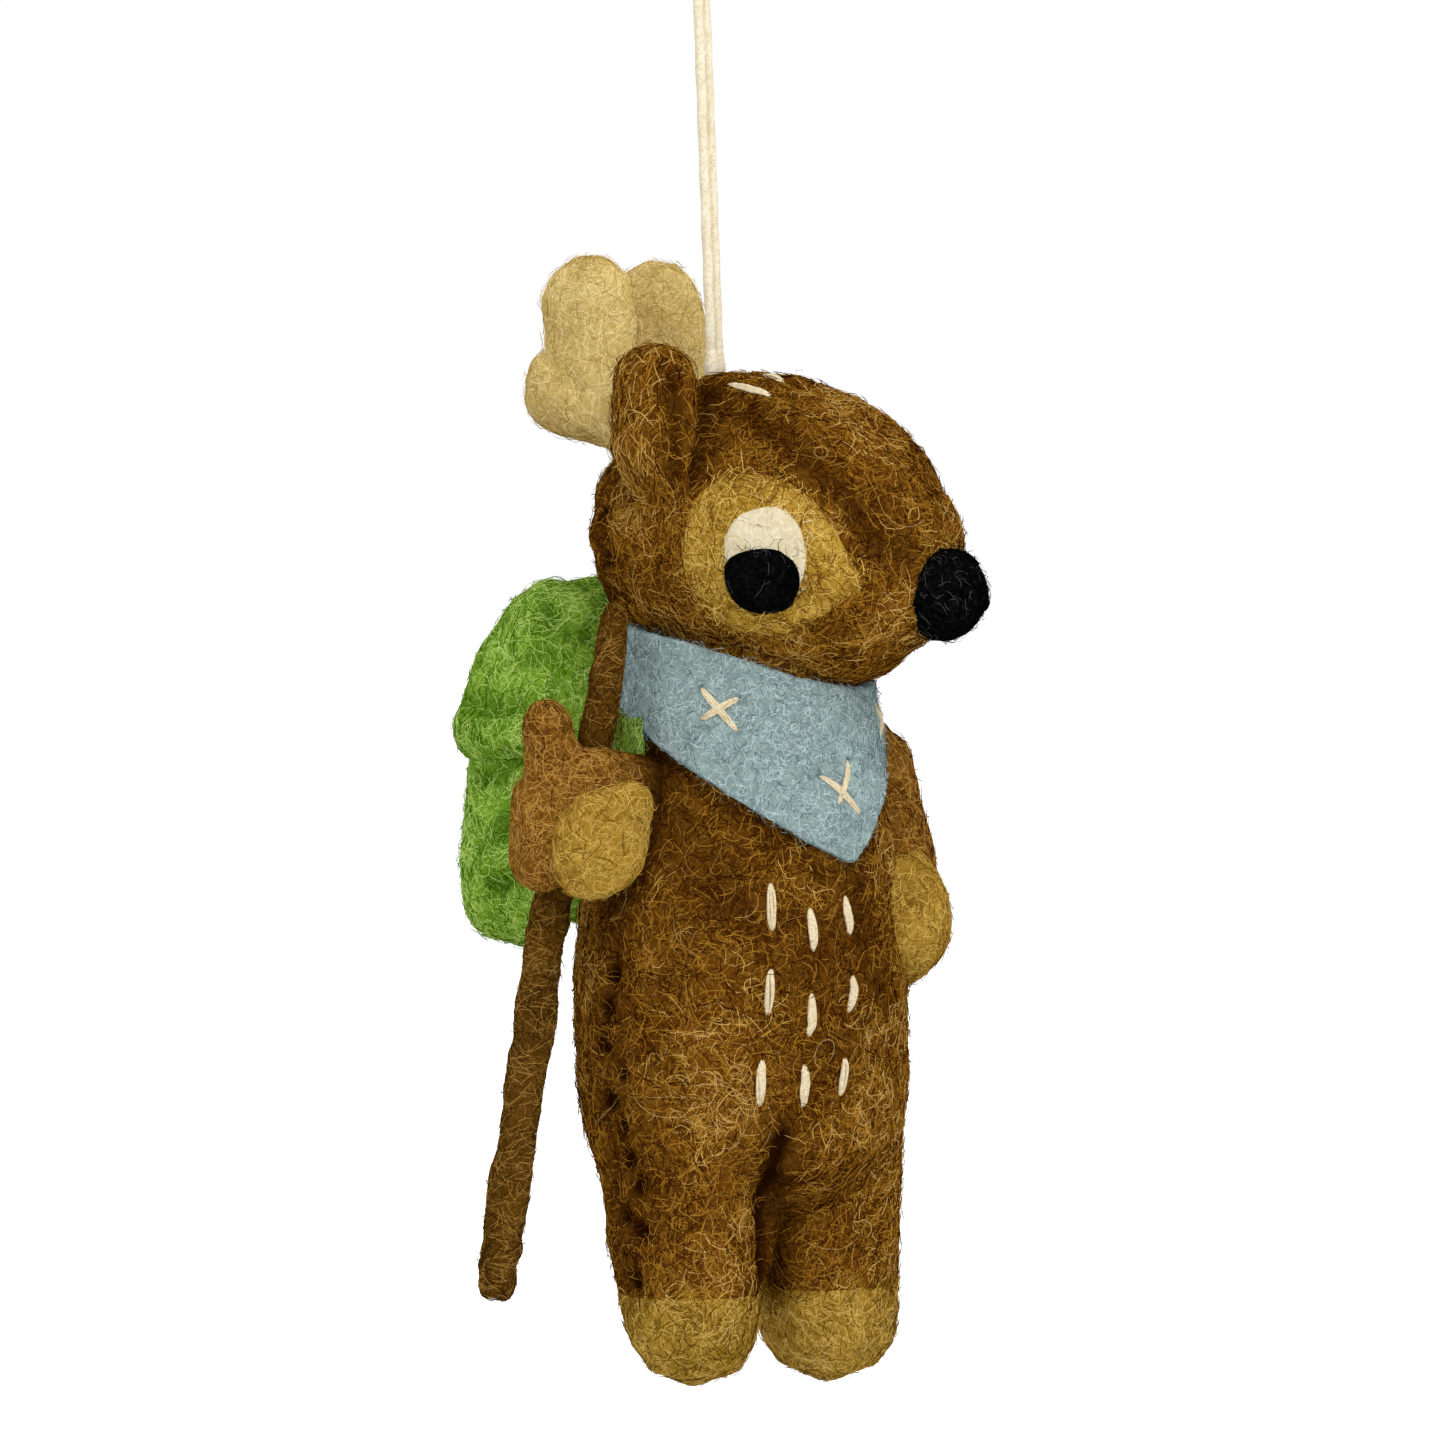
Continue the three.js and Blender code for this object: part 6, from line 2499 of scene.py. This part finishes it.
@dataclass
class ArmsAndStick:
    """Both arms with their hand hooves, and the walking stick of wool wound on a wire."""

    stick_lumps: Lumps = ((3.4, 0.3), (1.8, 0.18), (0.9, 0.06))
    stick_puff: float = -0.02
    stick_shift: float = 0.25
    stick_lift: float = 0.7
    stick_taper: float = 0.55
    lift_reach: float = 8.0
    taper_heights: Span = (-85.0, -77.0)
    root_span: Span = (-18.0, -15.2)
    root_sink: float = 0.6
    left_shift: float = -2.2
    shift_heights: Span = (93.0, 101.0)
    pad_lumps: Lumps = ((5.0, 0.5), (2.4, 0.25), (1.2, 0.1))
    swells: tuple[tuple[str, Swells], ...] = (
        ("stick_wool", ((480, 1302, 2.2, -0.9),)),
        ("hand_right_wool", (
            (640, 800, 2.6, 0.9), (560, 885, 2.6, 0.5), (600, 840, 3.5, -0.6), (643, 793, 2.6, 1.0),
        )),
        ("hand_left_wool", ((912, 900, 6.0, 3.4), (930, 950, 6.0, 2.2))),
        ("arm_left_wool", (
            (906, 880, 7.0, 3.2), (903, 945, 7.0, 3.4), (900, 820, 6.0, 1.6), (960, 900, 6.0, -1.6),
            (930, 1010, 5.0, -2.4), (893, 748, 4.0, 0.8), (880, 885, 4.5, 1.6), (878, 935, 4.5, 1.6),
        )),
        ("arm_right_wool", (
            (650, 760, 5.0, -1.2), (540, 830, 5.0, 0.5), (578, 724, 3.0, -1.3), (575, 704, 2.6, -0.9),
            (540, 702, 3.0, 1.2), (515, 790, 5.0, 0.7),
        )),
    )

    def shaped(self, part: FeltedPart, nodes: Nodes) -> WoolMesh:
        """Shapes a part and swells or sinks it where the photograph shows.

        Args:
            part: the piece.
            nodes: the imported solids.

        Returns:
            The form.
        """
        wool = part.shaped(nodes)
        wool.swell(dict(self.swells)[part.name])
        if part.name.endswith("left_wool"):
            wool.shift(VIEW.axes()[0], self.left_shift * ease(-wool.places[:, 2], *self.shift_heights))
        return wool

    def build_stick(self, nodes: Nodes) -> None:
        """Makes the wound stick, thinner at its top.

        Args:
            nodes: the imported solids.
        """
        name, node = "stick_wool", "walking_stick_wool"
        stick = FeltedPart(name, node, STICK_WOOL, STICK_COAT, 0.35, 4, 14, self.stick_puff, self.stick_lumps)
        wool = self.shaped(stick, nodes)
        wool.push(-self.stick_taper * ease(wool.places[:, 2], *self.taper_heights))
        wool.shift(VIEW.axes()[0], self.stick_shift)
        low = wool.places[:, 2].min()
        wool.places[:, 2] += self.stick_lift * (1 - ease(wool.places[:, 2], low, low + self.lift_reach))
        stick.place(wool)

    def build(self, nodes: Nodes, trunk: WoolMesh) -> None:
        """Makes the arms, hand hooves, stick and wire.

        Args:
            nodes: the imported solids.
            trunk: the trunk's form.
        """
        for side in ("left", "right"):
            name, node = f"hand_{side}_wool", f"hand_hoof_{side}"
            arm = FeltedPart(f"arm_{side}_wool", f"arm_{side}", ARM_WOOL, ARM_COAT, 0.4, 6, 8, 0.2)
            hand = FeltedPart(name, node, PAD_WOOL, PAD_COAT, 0.4, 6, 6, 0.25, self.pad_lumps)
            limb = self.shaped(arm, nodes)
            pad = self.shaped(hand, nodes)
            if side == "right":
                # The right arm's root sinks into the trunk and gets painted shadow there
                root = ease(limb.places[:, 0], *self.root_span)
                limb.sink_into(trunk, root, self.root_sink)
                limb.paint_shade(root)
            arm.place(limb, [trunk, pad])
            hand.place(pad, [limb, trunk])
        self.build_stick(nodes)
        wire = nodes["walking_stick_wire"]
        wire.data.materials.clear()
        wire.data.materials.append(WireFinish().material())
        LOG.info("walking_stick_wire: keeps its packed shape")


@dataclass
class Studio:
    """A plain pale floor, a white surround and soft lamps."""

    ambient: float = 0.7
    floor_drop: float = 25.0
    floor_side: float = 8000.0
    floor_colour: Colour = (232, 232, 232)
    floor_glow: float = 0.62
    aim_at: Place = (4.0, -4.0, -105.0)
    lamps: tuple[tuple[str, Place, float, float, float], ...] = (
        ("key_lamp", (-0.15, -0.85, 0.8), 900.0, 620.0, 4.2),
        ("fill_lamp", (-1.0, -0.35, 0.2), 1000.0, 700.0, 1.0),
        ("back_lamp", (0.5, 1.0, 0.5), 1000.0, 700.0, 1.6),
    )

    def camera_rays(self, tree: bpy.types.NodeTree) -> Socket:
        """Gives 1 for a ray from the camera or through gloss or glass, and 0 for light.

        Args:
            tree: the node tree that the value is made in.

        Returns:
            The value.
        """
        path = tree.nodes.new("ShaderNodeLightPath")
        total = path.outputs["Is Camera Ray"]
        for name in ("Is Glossy Ray", "Is Transmission Ray"):
            node = tree.nodes.new("ShaderNodeMath")
            node.operation = "ADD"
            node.use_clamp = True
            tree.links.new(total, node.inputs[0])
            tree.links.new(path.outputs[name], node.inputs[1])
            total = node.outputs[0]
        return total

    def make_world(self) -> None:
        """Makes the surround: soft light for the object, white for the camera."""
        world = bpy.data.worlds.new("soft_surround")
        bpy.context.scene.world = world
        world.use_nodes = True
        tree = world.node_tree
        tree.nodes.clear()
        soft = tree.nodes.new("ShaderNodeBackground")
        soft.inputs["Strength"].default_value = self.ambient
        white = tree.nodes.new("ShaderNodeBackground")
        white.inputs["Strength"].default_value = 1.0
        for node in (soft, white):
            node.inputs["Color"].default_value = (1, 1, 1, 1)
        mix = tree.nodes.new("ShaderNodeMixShader")
        out = tree.nodes.new("ShaderNodeOutputWorld")
        tree.links.new(self.camera_rays(tree), mix.inputs[0])
        tree.links.new(soft.outputs[0], mix.inputs[1])
        tree.links.new(white.outputs[0], mix.inputs[2])
        tree.links.new(mix.outputs[0], out.inputs["Surface"])

    def make_floor(self) -> None:
        """Makes the floor below the hanging feet, which keeps the shadow."""
        half = self.floor_side / 2
        level = FIGURE.sole_z - self.floor_drop
        corners = ((-half, -half), (half, -half), (half, half), (-half, half))
        places = np.array([[across, along, level] for across, along in corners])
        sheet = NodeSheet("pale_floor")
        sheet.shader.inputs["Base Color"].default_value = linear(self.floor_colour)
        sheet.shader.inputs["Roughness"].default_value = 1.0
        sheet.shader.inputs["Specular IOR Level"].default_value = 0.0
        glow = sheet.combine("MULTIPLY", self.camera_rays(sheet.tree), self.floor_glow)
        sheet.shader.inputs["Emission Color"].default_value = (1, 1, 1, 1)
        sheet.link(glow, sheet.shader.inputs["Emission Strength"])
        data = mesh_from_rows("floor", places, [np.array([[0, 1, 2, 3]])])
        floor = mesh_object("floor", data, [sheet.material])

    def make_lamp(self, name: str, way: Place, distance: float, size: float, power: float) -> None:
        """Makes a soft square lamp that faces the fawn from a direction.

        Args:
            name: the lamp's name.
            way: the direction from the fawn to the lamp.
            distance: how far away it is in millimetres.
            size: the side of its square in millimetres.
            power: its power in watts.
        """
        middle = Vector(self.aim_at)
        data = bpy.data.lights.new(name, "AREA")
        data.size = size * MM
        data.energy = power
        lamp = bpy.data.objects.new(name, data)
        bpy.context.scene.collection.objects.link(lamp)
        aim = Vector(way).normalized()
        lamp.location = (middle + aim * distance) * MM
        lamp.rotation_euler = aim.to_track_quat("Z", "Y").to_euler()

    def build(self) -> None:
        """Makes the surround, floor and lamps."""
        bpy.context.scene.view_settings.view_transform = "Standard"
        self.make_world()
        self.make_floor()
        for lamp in self.lamps:
            self.make_lamp(*lamp)
        LOG.info("studio: three lamps and a pale floor")


def main() -> None:
    """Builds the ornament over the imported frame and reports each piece."""
    logging.basicConfig(level=logging.INFO, format="%(name)s %(message)s")
    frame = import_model()
    nodes = frame["nodes"]
    VIEW.make_camera()
    loop = HangingLoop()
    loop.build()
    trunk = TorsoAndLegs()
    trunk.build(nodes)
    FawnHead().build(nodes, loop)
    Neckerchief().build(nodes, trunk.wool)
    BackBag().build(nodes, trunk.wool)
    ArmsAndStick().build(nodes, trunk.wool)
    Studio().build()
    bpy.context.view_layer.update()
    LOG.info("sizes written")


if __name__ == "__main__":
    main()
